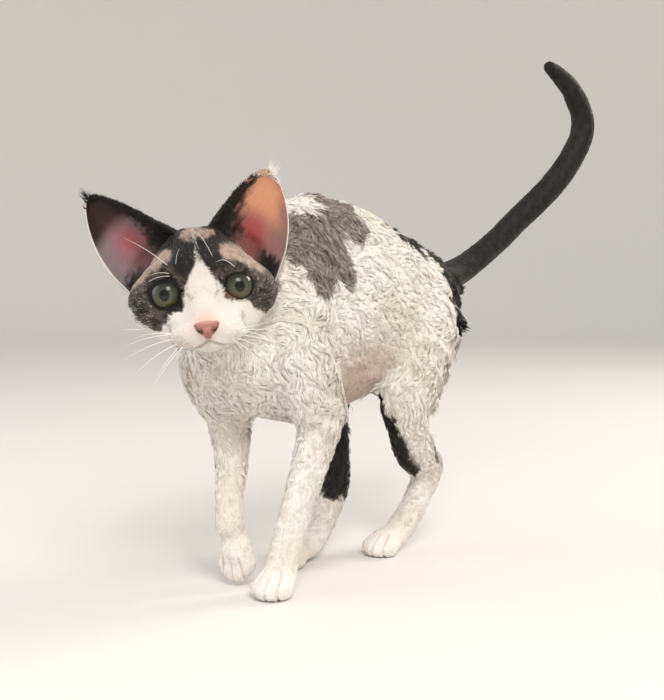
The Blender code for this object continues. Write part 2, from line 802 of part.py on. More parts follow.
def limb_region(stations, grow):
    """The space outside a plane along the flank that a limb fills, seen from the side."""
    sign = 1 if stations[2][0] > 0 else -1
    rows = spline([row for row in stations if row[2] > CHEST_FLOOR - 30], 3)
    front = [(y - deep - grow, z) for _, y, z, _, deep in rows]
    rear = [(y + deep + grow, z) for _, y, z, _, deep in rows]
    crown = [(rows[0][1], rows[0][2] + 6 + grow)]
    outline = front[::-1] + crown + rear
    count = len(outline)
    inner, outer = FLANK_PLANE - grow, FLANK_PLANE + 60
    points = [(sign * x, y, z) for x in (inner, outer) for y, z in outline]
    faces = [(k, (k + 1) % count, (k + 1) % count + count, k + count) for k in range(count)]
    faces += [tuple(range(count))[::-1], tuple(range(count, 2 * count))]
    return facing_out(mesh_from("limb", points, faces))


def nodes():
    """Every node of the cat by name, in place."""
    whole = flesh()
    point, normal = Vector(HEAD_CUT[0]), Vector(HEAD_CUT[1]).normalized()
    head = thinned_part(whole, "head", point - normal * 8, normal, HEAD_TRIANGLES)
    body = thinned_part(whole, "body", point + normal * 8, -normal, BODY_TRIANGLES)
    boolean(head, half_space("ahead", point, normal, GAP / 2), "INTERSECT")
    boolean(body, half_space("ahead", point, normal, -GAP / 2), "DIFFERENCE")
    boolean(body, box("floor", (-FAR, -FAR, -FAR), (FAR, FAR, 0)), "DIFFERENCE")
    carve_mouth(largest_part(head), whole)
    bpy.data.objects.remove(whole)
    made = {"head": head}
    made["neck"] = split(body, "neck", (0, 12, 205), (0, -0.7, 0.71))
    made["tail_base"] = split(body, "tail_base", (4, 241, 195), (0.26, 0.84, 0.48))
    made["tail_middle"] = split(made["tail_base"], "tail_middle", (30, 312, 246), (0.3, 0.68, 0.66))
    made["tail_tip"] = split(made["tail_middle"], "tail_tip", (57, 358, 308), (0.1, 0.1, 0.99))
    made.update(lower_legs(body))
    for name, stations in UPPER_LEGS.items():
        made[name] = split_region(body, name, lambda grow: limb_region(stations, grow))
    made["torso"] = body
    open_face(made["head"])
    for side in ("left", "right"):
        made["eye_" + side] = eyeball("eye_" + side, side)
        made["ear_" + side] = ear(side)
        for carrier in ("neck", "torso"):
            largest_part(boolean(made[carrier], ear_hollow(side), "DIFFERENCE"))
        for carrier in ("head", "neck", "torso"):
            boolean(made["ear_" + side], grown(made[carrier], GAP), "DIFFERENCE")
        largest_part(made["ear_" + side])
    nose = nose_pad()
    for cutter in nostrils():
        boolean(nose, cutter, "DIFFERENCE")
    made["nose"] = largest_part(nose)
    return made


def lower_legs(body):
    """What stands below the belly: four legs, each parted at the wrist or hock."""
    level = CHEST_FLOOR - 5.0
    below = copy_of(body, "below")
    boolean(below, half_space("under", (0, 0, level), (0, 0, -1), GAP / 2), "INTERSECT")
    boolean(body, half_space("under", (0, 0, level), (0, 0, -1), -GAP / 2), "DIFFERENCE")
    largest_part(body)
    bm = bmesh.new()
    bm.from_mesh(below.data)
    places = [centre_of(part) / MM for part in loose_parts(bm)[:4]]
    bm.free()
    made = {}
    for index, place in enumerate(places):
        side = "left" if place.x > 0 else "right"
        end = "fore" if place.y < 70 and not (side == "right" and place.y > 45) else "hind"
        made[(end, side)] = keep_part(copy_of(below, end), index)
    bpy.data.objects.remove(below)
    joints = {
        ("fore", "left"): ((20, 14, 22), (0, -0.15, -1)),
        ("fore", "right"): ((-16, 5, 38), (0, 0.1, -1)),
        ("hind", "left"): ((23, 177, 56), (0, 0.05, -1)),
        ("hind", "right"): ((-20, 120, 43), (0, -0.3, -0.95)),
    }
    legs = {}
    for (end, side), leg in made.items():
        upper, lower = ("forearm_", "forepaw_") if end == "fore" else ("shank_", "hindfoot_")
        legs[lower + side] = split(leg, lower + side, *joints[(end, side)])
        legs[upper + side] = leg
    return legs


def main():
    made = nodes()
    for name, obj in made.items():
        obj.name = name
        obj.data.name = name
        TOOLS.objects.unlink(obj)
        CAT.objects.link(obj)
        dark = name.startswith(("tail", "ear"))
        paint(obj, DARK_COAT if dark else WHITE_COAT, 0.85)
    for side in ("left", "right"):
        paint(made["eye_" + side], EYE_GREEN, 0.1)
    paint(made["nose"], NOSE_PINK, 0.45)
    corners = np.array([tuple(v.co) for obj in made.values() for v in obj.data.vertices])
    low, high = corners.min(0), corners.max(0)
    home = Matrix.Translation((-(low[0] + high[0]) / 2, -(low[1] + high[1]) / 2, -low[2]))
    for obj in made.values():
        obj.data.transform(home)
        obj.data.shade_smooth()


main()
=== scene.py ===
import math

import bmesh
import bpy
import numpy as np
from mathutils import Matrix, Vector
from mathutils.bvhtree import BVHTree


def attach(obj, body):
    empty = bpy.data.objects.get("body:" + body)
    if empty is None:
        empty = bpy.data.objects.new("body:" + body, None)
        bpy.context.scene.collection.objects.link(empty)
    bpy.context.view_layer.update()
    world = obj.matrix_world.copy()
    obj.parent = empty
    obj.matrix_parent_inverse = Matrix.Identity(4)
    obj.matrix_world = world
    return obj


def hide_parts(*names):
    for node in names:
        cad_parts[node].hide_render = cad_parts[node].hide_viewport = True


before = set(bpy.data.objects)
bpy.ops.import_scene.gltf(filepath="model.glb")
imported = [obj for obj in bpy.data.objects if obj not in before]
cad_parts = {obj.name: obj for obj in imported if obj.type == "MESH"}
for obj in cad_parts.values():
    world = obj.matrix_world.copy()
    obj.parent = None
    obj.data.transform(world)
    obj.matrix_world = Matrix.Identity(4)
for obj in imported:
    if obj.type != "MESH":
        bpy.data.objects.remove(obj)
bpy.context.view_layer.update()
print("frame loaded")

body = {
    "shift": (-7.225, -142.587, 0.0),  # from the body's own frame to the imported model's
    "headCentre": (5.9, -40.6, 185.0),
    "headTurn": (44.0, 3.0, -7.0),  # yaw, pitch and roll in degrees
    "noseRoot": (0.0, -47.0, -15.0),  # in the head's frame, where the lie of the face starts
    "seed": 7,
}
bodyShift = np.array(body["shift"])
yaw, pitch, roll = (math.radians(angle) for angle in body["headTurn"])
headMatrix = np.array(
    Matrix.Translation(body["headCentre"])
    @ Matrix.Rotation(yaw, 4, "Z")
    @ Matrix.Rotation(pitch, 4, "X")
    @ Matrix.Rotation(roll, 4, "Y")
)
headInverse = np.linalg.inv(headMatrix)
detail = 1.0  # share of the tufts that are made while trying things


# A colour such as "e9e4dc" from sRGB to linear red, green and blue: the lowest values over 12.92, the others
# plus 0.055, over 1.055 and to the power 2.4
def toLinear(hexColour):
    srgb = np.array([int(hexColour[i : i + 2], 16) / 255 for i in (0, 2, 4)])
    return np.where(srgb < 0.04045, srgb / 12.92, ((srgb + 0.055) / 1.055) ** 2.4)


# Points of the body in the head's own frame: turned and moved by the inverse of the head's matrix
def toHead(points):
    return points @ headInverse[:3, :3].T + headInverse[:3, 3]


# And back, by the matrix itself
def fromHead(points):
    return np.asarray(points, float) @ headMatrix[:3, :3].T + headMatrix[:3, 3]


# Each vector over its own length
def unit(vectors):
    return vectors / np.maximum(np.linalg.norm(vectors, axis=-1, keepdims=True), 1e-9)


# Row by row dot products, as one column
def dot(a, b):
    return (a * b).sum(axis=-1, keepdims=True)


# 0 below low, 1 above high, and a smooth S between them: t squared times 3 - 2t
def smoothStep(low, high, value):
    t = np.clip((value - low) / (high - low), 0, 1)
    return t * t * (3 - 2 * t)


# A smooth field between about -1 and 1: the mean of sine waves in nine random directions, each about one
# wavelength long
def ripple(points, wavelength, seed):
    rng = np.random.default_rng(seed)
    waves = unit(rng.normal(size=(9, 3))) * rng.uniform(0.6, 1.5, (9, 1)) * 2 * math.pi / wavelength
    return np.sin(points @ waves.T + rng.uniform(0, 2 * math.pi, 9)).sum(axis=1) / 3.2


# Signed distance from 2-D points to a polygon, less than 0 inside: the nearest edge's distance, with the
# sign from how often a ray crosses the edges
def polygonDistance(points, corners):
    corners = np.array(corners, float)
    nextCorners = np.roll(corners, -1, axis=0)
    best = np.full(len(points), 1e9)
    inside = np.zeros(len(points), bool)
    for a, b in zip(corners, nextCorners):
        edge = b - a
        t = np.clip((points - a) @ edge / (edge @ edge), 0, 1)
        best = np.minimum(best, np.linalg.norm(points - a - t[:, None] * edge, axis=1))
        crosses = (a[1] > points[:, 1]) != (b[1] > points[:, 1])
        at = a[0] + (points[:, 1] - a[1]) * edge[0] / (edge[1] if edge[1] else 1e-9)
        inside ^= crosses & (points[:, 0] < at)
    return np.where(inside, -best, best)


# Distance from points to a line of points in 3-D, and how far along it the nearest place is, from 0 to 1
def lineDistance(points, line):
    line = np.array(line, float)
    steps = np.linalg.norm(np.diff(line, axis=0), axis=1)
    reached = np.concatenate([[0], np.cumsum(steps)]) / steps.sum()
    best, along = np.full(len(points), 1e9), np.zeros(len(points))
    for i in range(len(line) - 1):
        edge = line[i + 1] - line[i]
        t = np.clip((points - line[i]) @ edge / (edge @ edge), 0, 1)
        away = np.linalg.norm(points - line[i] - t[:, None] * edge, axis=1)
        closer = away < best
        best = np.where(closer, away, best)
        along = np.where(closer, reached[i] + t * (reached[i + 1] - reached[i]), along)
    return best, along


# An object of a mesh, a lamp or a camera, in the scene
def addObject(name, data):
    piece = bpy.data.objects.new(name, data)
    bpy.context.scene.collection.objects.link(piece)
    return piece


# A smooth object from points in millimetres and faces: each point plus the shift, over 1000
def makeObject(name, points, faces):
    mesh = bpy.data.meshes.new(name)
    mesh.from_pydata(((np.asarray(points) + bodyShift) / 1000).tolist(), [], [tuple(f) for f in faces])
    mesh.polygons.foreach_set("use_smooth", np.ones(len(mesh.polygons), bool))
    mesh.update()
    return addObject(name, mesh)


# One attribute of every item of a mesh, as rows of so many values
def readAll(items, attribute, width=1, kind=float):
    flat = np.empty(len(items) * width, kind)
    items.foreach_get(attribute, flat)
    return flat.reshape(-1, width) if width > 1 else flat


# A mesh's points in millimetres in the body's frame: times 1000, less the shift
def readPoints(mesh):
    return readAll(mesh.vertices, "co", 3) * 1000 - bodyShift


# The way back: millimetres plus the shift, over 1000
def writePoints(mesh, points):
    mesh.vertices.foreach_set("co", ((points + bodyShift) / 1000).ravel())
    mesh.update()


# A mesh's unit normals at its points, as Blender works them out
def readNormals(mesh):
    return readAll(mesh.vertex_normals, "vector", 3)


# The corners of each face of a mesh
def readFaces(mesh):
    return [tuple(polygon.vertices) for polygon in mesh.polygons]


# The two ends of each edge of a mesh
def readEdges(mesh):
    return readAll(mesh.edges, "vertices", 2, int)


# The corners of each triangle of a mesh
def readTriangles(mesh):
    mesh.calc_loop_triangles()
    return readAll(mesh.loop_triangles, "vertices", 3, int)


# Faces to look up by the nearest place or by a ray
def surfaceTree(points, faces):
    return BVHTree.FromPolygons([tuple(p) for p in points], faces)


# Four-sided faces between the rows and columns of a grid of points, which are numbered row x columns + column.
# The columns close in a ring unless told otherwise, and the rows only where told.
def gridFaces(rows, columns, ring=True, loop=False):
    down, along = np.arange(rows if loop else rows - 1), np.arange(columns if ring else columns - 1)
    i, j = np.meshgrid(down, along, indexing="ij")
    n, k = (i + 1) % rows, (j + 1) % columns
    return np.stack([i * columns + j, n * columns + j, n * columns + k, i * columns + k], axis=-1).reshape(-1, 4)


# Places along a line of stations at so many even steps, straight from one station to the next
def alongLine(stations, count):
    t = np.linspace(0, len(stations) - 1, count)
    return np.stack([np.interp(t, np.arange(len(stations)), column) for column in stations.T], axis=1)


# A point colour on a mesh, red, green and blue in linear light
def paint(piece, colours, name="coatColour"):
    layer = piece.data.color_attributes.new(name, "FLOAT_COLOR", "POINT")
    rgba = np.ones((len(piece.data.vertices), 4))
    rgba[:, :3] = colours
    layer.data.foreach_set("color", rgba.ravel())


# Puts a piece on the body with its material, and hides the nodes that it stands for. Its slot is not used.
def finishPiece(piece, material, slot, *nodes):
    piece.data.materials.append(material)
    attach(piece, "root")
    if nodes:
        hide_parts(*nodes)
    return piece


# A closed tube along points: around each a ring of so many sides, at point + radius x (across x cosine of the
# turn + upward x its sine)
def tubeSurface(line, radii, sides=5):
    line = np.asarray(line, float)
    tangents = unit(np.gradient(line, axis=0))
    guide = np.array([0.31, 0.17, 0.93])
    across = unit(np.cross(tangents, guide))
    upward = np.cross(across, tangents)
    turn = np.arange(sides) * 2 * math.pi / sides
    spokes = across[:, None] * np.cos(turn)[None, :, None] + upward[:, None] * np.sin(turn)[None, :, None]
    rings = line[:, None] + radii[:, None, None] * spokes
    count = len(line)
    caps = [tuple(range(sides)), tuple((count - 1) * sides + s for s in range(sides))[::-1]]
    return rings.reshape(-1, 3), [tuple(f) for f in gridFaces(count, sides)] + caps


# Turns the faces of a closed mesh outwards
def faceOut(piece):
    bm = bmesh.new()
    bm.from_mesh(piece.data)
    bmesh.ops.recalc_face_normals(bm, faces=bm.faces)
    bm.to_mesh(piece.data)
    bm.free()


# Adds one shader node with its settings, the values of its inputs and its links
def addNode(tree, kind, settings=None, values=None, links=None):
    node = tree.nodes.new("ShaderNode" + kind)
    for key, value in (settings or {}).items():
        setattr(node, key, value)
    for key, value in (values or {}).items():
        node.inputs[key].default_value = value
    for key, socket in (links or {}).items():
        tree.links.new(socket, node.inputs[key])
    return node


# A value that goes from one result to the other while its source goes from one limit to the other
def mapRange(tree, value, limits, results=(0.0, 1.0)):
    values = dict(zip(("From Min", "From Max", "To Min", "To Max"), (*limits, *results)))
    return addNode(tree, "MapRange", values=values, links={"Value": value}).outputs["Result"]


# Gives an input its value, which is another node's output or numbers
def feed(tree, target, value):
    if isinstance(value, bpy.types.NodeSocket):
        tree.links.new(value, target)
    else:
        target.default_value = value


# One step of arithmetic on vectors: the first input with the second, or scaled by it
def vectorMath(tree, operation, first, second=None):
    node = addNode(tree, "VectorMath", settings={"operation": operation}, links={0: first})
    if second is not None:
        feed(tree, node.inputs["Scale" if operation == "SCALE" else 1], second)
    return node.outputs["Value" if operation == "LENGTH" else "Vector"]


# Two colours mixed by a factor
def mixColours(tree, factor, first, second, kind="MIX"):
    node = addNode(tree, "Mix", settings={"data_type": "RGBA", "blend_type": kind}, links={"Factor": factor})
    for target, value in zip([socket for socket in node.inputs if socket.type == "RGBA"], (first, second)):
        feed(tree, target, value)
    return [socket for socket in node.outputs if socket.type == "RGBA"][0]


# A material with its shader's constants set. Its colour and height come from a function that gets the tree,
# and the height is pressed in by so many millimetres.
def makeMaterial(name, constants, pattern=None, bumpMm=0.0, bumpStrength=0.5):
    material = bpy.data.materials.new(name)
    material.use_nodes = True
    tree = material.node_tree
    shader = tree.nodes["Principled BSDF"]
    for key, value in constants.items():
        shader.inputs[key].default_value = value
    colour, height = pattern(tree) if pattern else (None, None)
    if colour is not None:
        tree.links.new(colour, shader.inputs["Base Color"])
    if height is not None:
        values = {"Strength": bumpStrength, "Distance": bumpMm / 1000}
        bump = addNode(tree, "Bump", values=values, links={"Height": height})
        tree.links.new(bump.outputs["Normal"], shader.inputs["Normal"])
    return material


# The colour painted on the points, times a shade that goes between two numbers as a value between its limits
def shadePaint(tree, value, limits, shades):
    painted = addNode(tree, "Attribute", settings={"attribute_name": "coatColour"})
    return vectorMath(tree, "SCALE", painted.outputs["Color"], mapRange(tree, value, limits, shades))


# The painted coat colour, darkened by up to so much by a grain of so many millimetres
def coatPattern(grainMm, depth):
    def pattern(tree):
        place = addNode(tree, "TexCoord")
        values = {"Scale": 1000 / grainMm, "Detail": 3.0, "Roughness": 0.6}
        grain = addNode(tree, "TexNoise", values=values, links={"Vector": place.outputs["Object"]}).outputs["Fac"]
        return shadePaint(tree, grain, (0.3, 0.7), (1 - depth, 1.0)), grain

    return pattern


# Soft awn and down hair, nearly matt with a faint sheen along its scales; the grain stands for single
# hairs of about 0.05 mm, drawn 0.5 mm wide because finer doesn't show
whiteFur = makeMaterial(
    "soft_white_fur",
    {"Roughness": 0.62, "IOR": 1.5, "Specular IOR Level": 0.3, "Sheen Weight": 0.25, "Sheen Roughness": 0.4},
    coatPattern(0.5, 0.10),
    bumpMm=0.12,
    bumpStrength=0.4,
)
# Pigmented hair, a little glossier than the white because its surface shows against the dark
darkFur = makeMaterial(
    "soft_dark_fur",
    {"Roughness": 0.5, "IOR": 1.55, "Specular IOR Level": 0.25, "Sheen Weight": 0.06, "Sheen Roughness": 0.4},
    coatPattern(0.5, 0.35),
    bumpMm=0.12,
    bumpStrength=0.5,
)
# Skin under thin down: matt with a faint bloom, and broken up by pores and down of about 0.9 mm
downySkin = makeMaterial(
    "downy_skin",
    {"Roughness": 0.6, "IOR": 1.4, "Specular IOR Level": 0.3, "Sheen Weight": 0.2, "Sheen Roughness": 0.4},
    coatPattern(0.9, 0.14),
    bumpMm=0.3,
    bumpStrength=0.5,
)

# The body's paths: where the limbs run, for the lie of the coat and for the markings
paths = {
    # x, y, z, radius, from the head towards the tail or down to the toes
    "trunk": [(0, -10, 165, 30), (0, 30, 165, 55), (0, 60, 170, 60), (0, 115, 172, 56), (2, 175, 172, 42),
              (2, 215, 178, 24)],
    "neck": [(5, -32, 177, 20), (3, -10, 181, 23), (1, 14, 188, 27), (0, 40, 202, 31)],
    "chest": [(5, -34, 166, 12), (3, -27, 150, 16), (1, -16, 130, 20), (0, 0, 112, 22), (0, 28, 104, 22)],
    "foreLeft": [(18, 44, 218, 14), (26, 32, 190, 20), (30, 16, 158, 20), (31, 24, 128, 18), (30, 36, 103, 15),
                 (27, 31, 78, 12), (23, 22, 50, 11), (20, 15, 26, 11), (19, 12, 16, 11)],
    "foreRight": [(-17, 42, 218, 14), (-24, 24, 190, 20), (-27, 5, 158, 22), (-27, 5, 134, 20), (-27, 16, 106, 15),
                  (-23, 15, 78, 11.5), (-19, 8, 55, 10), (-16.5, 5, 38, 10), (-14, 6, 24, 10), (-12, 5, 8, 9)],
    "hindLeft": [(16, 191, 178, 20), (22, 175, 160, 25), (27, 153, 136, 24), (28, 138, 112, 21), (26, 142, 90, 16),
                 (24, 152, 70, 13), (23, 173, 54, 12), (21, 165, 36, 10), (18, 150, 18, 10)],
    "hindRight": [(-15, 196, 178, 22), (-22, 174, 158, 26), (-27, 142, 134, 24), (-27, 117, 113, 18),
                  (-24, 116, 90, 13), (-21, 119, 64, 11), (-20, 120, 44, 10.5), (-19, 108, 28, 10),
                  (-17, 90, 13, 10)],
    "pawForeLeft": [(19.5, 12, 13, 10), (18.5, 6, 9, 10), (14.5, -6, 7, 9), (13.5, -9, 6, 8)],
    "pawHindLeft": [(17, 142, 12, 10), (15.5, 131, 9, 10), (14.5, 118, 7, 9)],
    "pawHindRight": [(-16.5, 82, 11, 10), (-16, 68, 9, 10), (-17.5, 55, 7, 9)],
    "tail": [(1, 222, 188, 14), (6, 248, 197, 12), (16, 280, 217, 11), (27, 306, 240, 11), (39, 330, 262, 11),
             (49, 350, 288, 11), (55, 359, 315, 10.5), (51, 343, 342, 9), (43, 318, 358, 7)],
}
regionNames = list(paths)


# Stations along every path at even steps, with the direction of travel: rows of place and radius, tangents
# and regions
def samplePaths(perSpan=6):
    rows, tangents, region = [], [], []
    for number, name in enumerate(regionNames):
        stations = np.array(paths[name], float)
        line = alongLine(stations, (len(stations) - 1) * perSpan + 1)
        rows.append(line)
        tangents.append(unit(np.gradient(line[:, :3], axis=0)))
        region.append(np.full(len(line), number))
    return np.vstack(rows), np.vstack(tangents), np.concatenate(region)


pathRows, pathTangents, pathRegion = samplePaths()
slabs = 6000  # points worked on at a time, to spare memory


# How far points lie from every station of the paths, less three quarters of its radius
def pathGaps(points):
    return np.linalg.norm(points[:, None] - pathRows[None, :, :3], axis=2) - 0.75 * pathRows[:, 3]


# The region of each point: that of the station with the smallest gap
def regionOf(points):
    region = np.empty(len(points), int)
    for start in range(0, len(points), slabs):
        part = slice(start, start + slabs)
        region[part] = pathRegion[np.argmin(pathGaps(points[part]), axis=1)]
    return region


# Whether the name of each point's region starts with one of the words
def regionIs(region, *words):
    return np.isin(region, [number for number, name in enumerate(regionNames) if name.startswith(words)])


# Numbers by region: the trunk's own, by height on the legs, and one each on the paws and the tail
def byRegion(numbers, region, height):
    found = np.full(len(height), numbers["trunk"])
    for limb in ("fore", "hind"):
        found = np.where(regionIs(region, limb), np.interp(height, *numbers[limb]), found)
    for part in ("paw", "tail"):
        found = np.where(regionIs(region, part), numbers[part], found)
    return found


# For points on the skin: the lie of the coat and the region. Each path pulls with a weight that falls with
# the third power of the distance from its surface; the face lies away from the nose.
def coatLie(points, normals):
    lie = np.empty_like(points)
    region = np.empty(len(points), int)
    for start in range(0, len(points), slabs):
        part = slice(start, start + slabs)
        away = np.maximum(pathGaps(points[part]), 1.0)
        lie[part] = away**-3.0 @ pathTangents
        region[part] = pathRegion[np.argmin(away, axis=1)]
    lie = unit(lie)
    lie[:, 2] -= np.where(regionIs(region, "trunk", "neck"), 0.45, 0.0)
    faceLie = (toHead(points) - np.array(body["noseRoot"])) @ headMatrix[:3, :3].T
    share = headShare(points)[:, None]
    lie = unit(lie) * (1 - share) + unit(faceLie) * share
    return unit(lie - normals * dot(lie, normals)), region


# 1 on the head and 0 on the neck: it falls off about 50 mm from the head's middle, behind the ears and
# under the throat
def headShare(points):
    inHead = toHead(points)
    away = np.linalg.norm(inHead - np.array([0, -3, 0]), axis=1)
    throat = 1 - smoothStep(24, 34, -inHead[:, 2] + 0.5 * inHead[:, 1])
    return (1 - smoothStep(44, 54, away)) * (1 - smoothStep(10, 26, inHead[:, 1])) * throat


# Markings, which the skin and every tuft take from one function of place
marks = {
    "white": "f5f1ea", "cream": "eae3d8", "taupe": "9c9086", "taupeDark": "746961", "black": "151313",
    "brown": "2c2522", "tan": "c4ab9b", "mask": "5a504a", "belly": "b49788", "pinkSkin": "e0b3a5",
    "liner": "100d0c", "lips": "a9786c",
    # Left shoulder patch, its corners at y and height over the back; heights past 243 are on the right side
    "shoulder": [(-6, 200), (-8, 222), (12, 231), (30, 230), (49, 231), (58, 237), (56, 258), (78, 264), (94, 250),
                 (90, 232), (87, 221), (85, 213), (75, 209), (69, 214), (61, 219), (62, 211), (65, 203), (65, 193),
                 (62, 182), (57, 183), (53, 188), (39, 191), (33, 182), (24, 179), (18, 183), (15, 192), (13, 200),
                 (8, 204)],
    "rump": [(118, 258), (124, 240), (131, 226), (139, 216), (153, 211), (163, 204), (172, 206), (181, 199),
             (185, 188), (185, 178), (184, 168), (188, 158), (196, 146), (250, 140), (250, 320), (196, 300),
             (178, 275), (150, 268)],
    "rightFlank": [(96, 282), (110, 274), (134, 280), (142, 300), (130, 322), (108, 318), (94, 302)],
    # Face, its corners at x and z in the head's frame
    "maskRight": [(-1.0, 29), (-1.9, 17.6), (-6.0, 9.0), (-9.6, 4.5), (-11.2, -1), (-12.5, -7.5), (-19.5, -9.8),
                  (-21.5, -13), (-25, -17.5), (-30, -18), (-37, -10), (-44, 2), (-46, 14), (-44, 40), (-3, 44)],
    "maskLeft": [(0.4, 29), (1.0, 20), (5.0, 13), (9.0, 6.8), (10.8, 2.5), (14, -2), (24, -6.5), (28, -12), (34, -16),
                 (40, -10), (46, 2), (46, 14), (44, 40), (2, 44)],
    "crown": [(-9, 30), (-3, 28.2), (0.5, 29.5), (6, 28.6), (10.5, 31), (9, 42), (-10, 42)],
    "browRight": [(-14, 24), (-17.5, 25.5), (-24, 21.5), (-32, 16), (-38.5, 9), (-38.5, 5.5), (-34, 8.5), (-28, 13),
                  (-21, 17), (-15.5, 19.5)],
    "browLeft": [(12.2, 24.8), (18.6, 25.4), (26, 21), (31, 14.5), (37, 8), (34, 6.5), (28, 10.5), (22, 14.5),
                 (14.5, 16.8)],
    # The line of the back, y against height, and the spine's place across
    "back": ([-18, 0, 30, 60, 88, 115, 145, 175, 202, 223], [186, 206, 232, 243, 243, 237, 227, 217, 209, 197]),
    "spine": ([-40, 0, 200], [5, 0, 2]),
    # Middles of the black on the left shank and of the painted shade behind its hock, and the white tuft in the rump
    "shank": [(14, 121, 104), (19, 126, 88), (24, 136, 66), (25, 143, 58)],
    "hock": [(30, 168, 68), (33, 171, 62)],
    "rumpTuft": ((18, 170, 207), (12, 6.5, 5)),
    "linerWidth": {"left": 0.75, "right": 1.9},
}
eyes = {
    "radius": 9.6,
    "bulge": 0.45,  # how far the cornea stands out of the ball
    "centre": {"left": (19.0, -18.6, 1.8), "right": (-19.0, -18.6, 1.8)},
    "divergence": 9.0,  # degrees that each eye looks outwards
    "opening": (7.95, 7.35),  # half width and half height of the opening between the lids
    "flatter": 0.45,  # how much lower the opening is above than below
    "inner": (-37.0, 2.7, 0.3, 1.3),  # inner corner: its angle, how far it reaches out, its width and its power
    "outer": (168.0, 0.8, 0.35, 1.5),  # and the outer one
    "pupil": (2.9, 3.3),
    "lidThickness": 0.55,
    # The iris from the middle out, at millimetres over 20, and the gold in its lower part
    "iris": [(0.13, "53543f"), (0.19, "4a4e40"), (0.27, "3f4538"), (0.33, "31382e"), (0.375, "1b201a"),
             (0.40, "0b0b0a")],
    # the gold is partly the iris's own colour and partly painted light let in by the cornea
    "goldAndPaintedLight": "f6cf86",
}


ears = {
    # tip, root of the inner edge, root of the outer edge, how round the tip is, outward bow
    "left": ((48, 12, 61), (9, 2, 32), (46, 12, 8), 1.9, 1.0),
    "right": ((-57, 12, 58), (-9, 2, 30), (-43, 12, 6), 1.7, 1.5),
    "depth": 19.0, "thickness": 1.1, "around": 60, "up": 64,
    "insideLeft": {"tip": "e3a583", "heart": "bd4f50", "low": "a5857f", "edge": "1d1918"},
    "insideRight": {"tip": "2f1f1c", "heart": "b8636a", "low": "8d8086", "edge": "1a1615"},
    # middle of the red, heights between which the tip's colour starts, and the furred band at the root and above
    "patternLeft": ((0.10, 0.14), (0.22, 0.5), (0.04, 0.70)),
    "patternRight": ((0.10, 0.26), (0.42, 0.64), (0.06, 0.62)),
    "down": 7000, "hairs": 56,  # tufts on an ear and hairs at its tip
}


# A point of an ear's sheet, by how far round it is, from -1 at the inner edge to 1 at the outer, and how far
# up, from 0 at the root to 1 at the tip: an arc that bends back behind the two edges and narrows to the tip
def earSheet(side, around, rise):
    tip, inner, outer, roundness, bow = (np.array(v, float) for v in ears[side])
    up = np.maximum(rise, 0)
    spread = (1 - up**roundness) ** (0.55 + 0.3 / roundness) + 0.03
    opening = np.radians(94 - 40 * up)
    deep = ears["depth"] * (1 - up) ** 0.8 + 0.6
    base, half = (inner + outer) / 2, (outer - inner) / 2
    across = np.sin(around * opening) / np.sin(np.minimum(opening, math.pi / 2))
    cup = deep * (np.cos(around * opening) - np.cos(opening)) / (1 - np.cos(opening))
    centre = base + (tip - base) * rise[..., None] + unit(half) * (bow * np.sin(math.pi * up))[..., None]
    return centre + half * (across * spread)[..., None] + np.array([0, 0.93, 0.37]) * cup[..., None]


# How near points in the head's frame are to the foot of an ear, from 0 at 8 mm to 1
def earFoot(head):
    away = np.full(len(head), 99.0)
    for side in ("left", "right"):
        foot = earSheet(side, np.linspace(-1, 1, 11), np.full(11, 0.0))
        away = np.minimum(away, lineDistance(head, foot)[0])
    return 1 - smoothStep(2.0, 8.0, away)


# Where the down is thin, from 0 to 1: behind the upper arm x before the thigh x below the flank, each a smooth
# step with a wavy edge
def bareness(points):
    _, y, z = (points + np.stack([ripple(points, 15, s) for s in (61, 62, 63)], axis=1) * 3).T
    front = smoothStep(44, 70, y + 0.3 * (z - 120))
    rear = 1 - smoothStep(98, 134, y + 0.2 * (z - 130))
    top = 1 - smoothStep(128, 172, z + 0.12 * np.abs(y - 88))
    return front * rear * top * (z > 60)


# Mixes colours by a share for each point: base x (1 - share) + colour x share
def blend(base, colour, share):
    return base * (1 - share[:, None]) + colour * share[:, None]


# An eye's own axes in the head's frame: nasal, up and forward
def eyeAxes(side):
    sign = 1.0 if side == "left" else -1.0
    turn = math.radians(eyes["divergence"]) * sign
    forward = np.array([math.sin(turn), -math.cos(turn), 0.0])
    up = np.array([0.0, 0.0, 1.0])
    nasal = np.cross(up, forward) * sign
    nasal = nasal if nasal[0] * sign < 0 else -nasal
    return nasal, up, forward


# How far the opening between the lids reaches at an angle from the nasal side: an ellipse, a little flatter
# above, drawn out to a point at the inner corner and less at the outer one
def openingReach(angle):
    wide, high = eyes["opening"]
    high = high - eyes["flatter"] * np.maximum(np.sin(angle), 0) ** 2
    reach = wide * high / np.hypot(high * np.cos(angle), wide * np.sin(angle))
    for at, out, width, power in (eyes["inner"], eyes["outer"]):
        gap = np.abs((angle - math.radians(at) + math.pi) % (2 * math.pi) - math.pi)
        reach = reach + out * np.exp(-((gap / width) ** power))
    return reach


# Points of the head as an eye has them: how far to its nasal side, up and forward, and how far outside the
# opening between its lids
def fromEye(head, side):
    nasal, up, forward = eyeAxes(side)
    offset = head - np.array(eyes["centre"][side])
    across, rise = offset @ nasal, offset @ up
    return across, rise, offset @ forward, np.hypot(across, rise) - openingReach(np.arctan2(rise, across))


# 1 inside a polygon and 0 outside, with a soft edge between two distances
def patch(points, corners, inner, outer):
    return 1 - smoothStep(inner, outer, polygonDistance(points, corners))


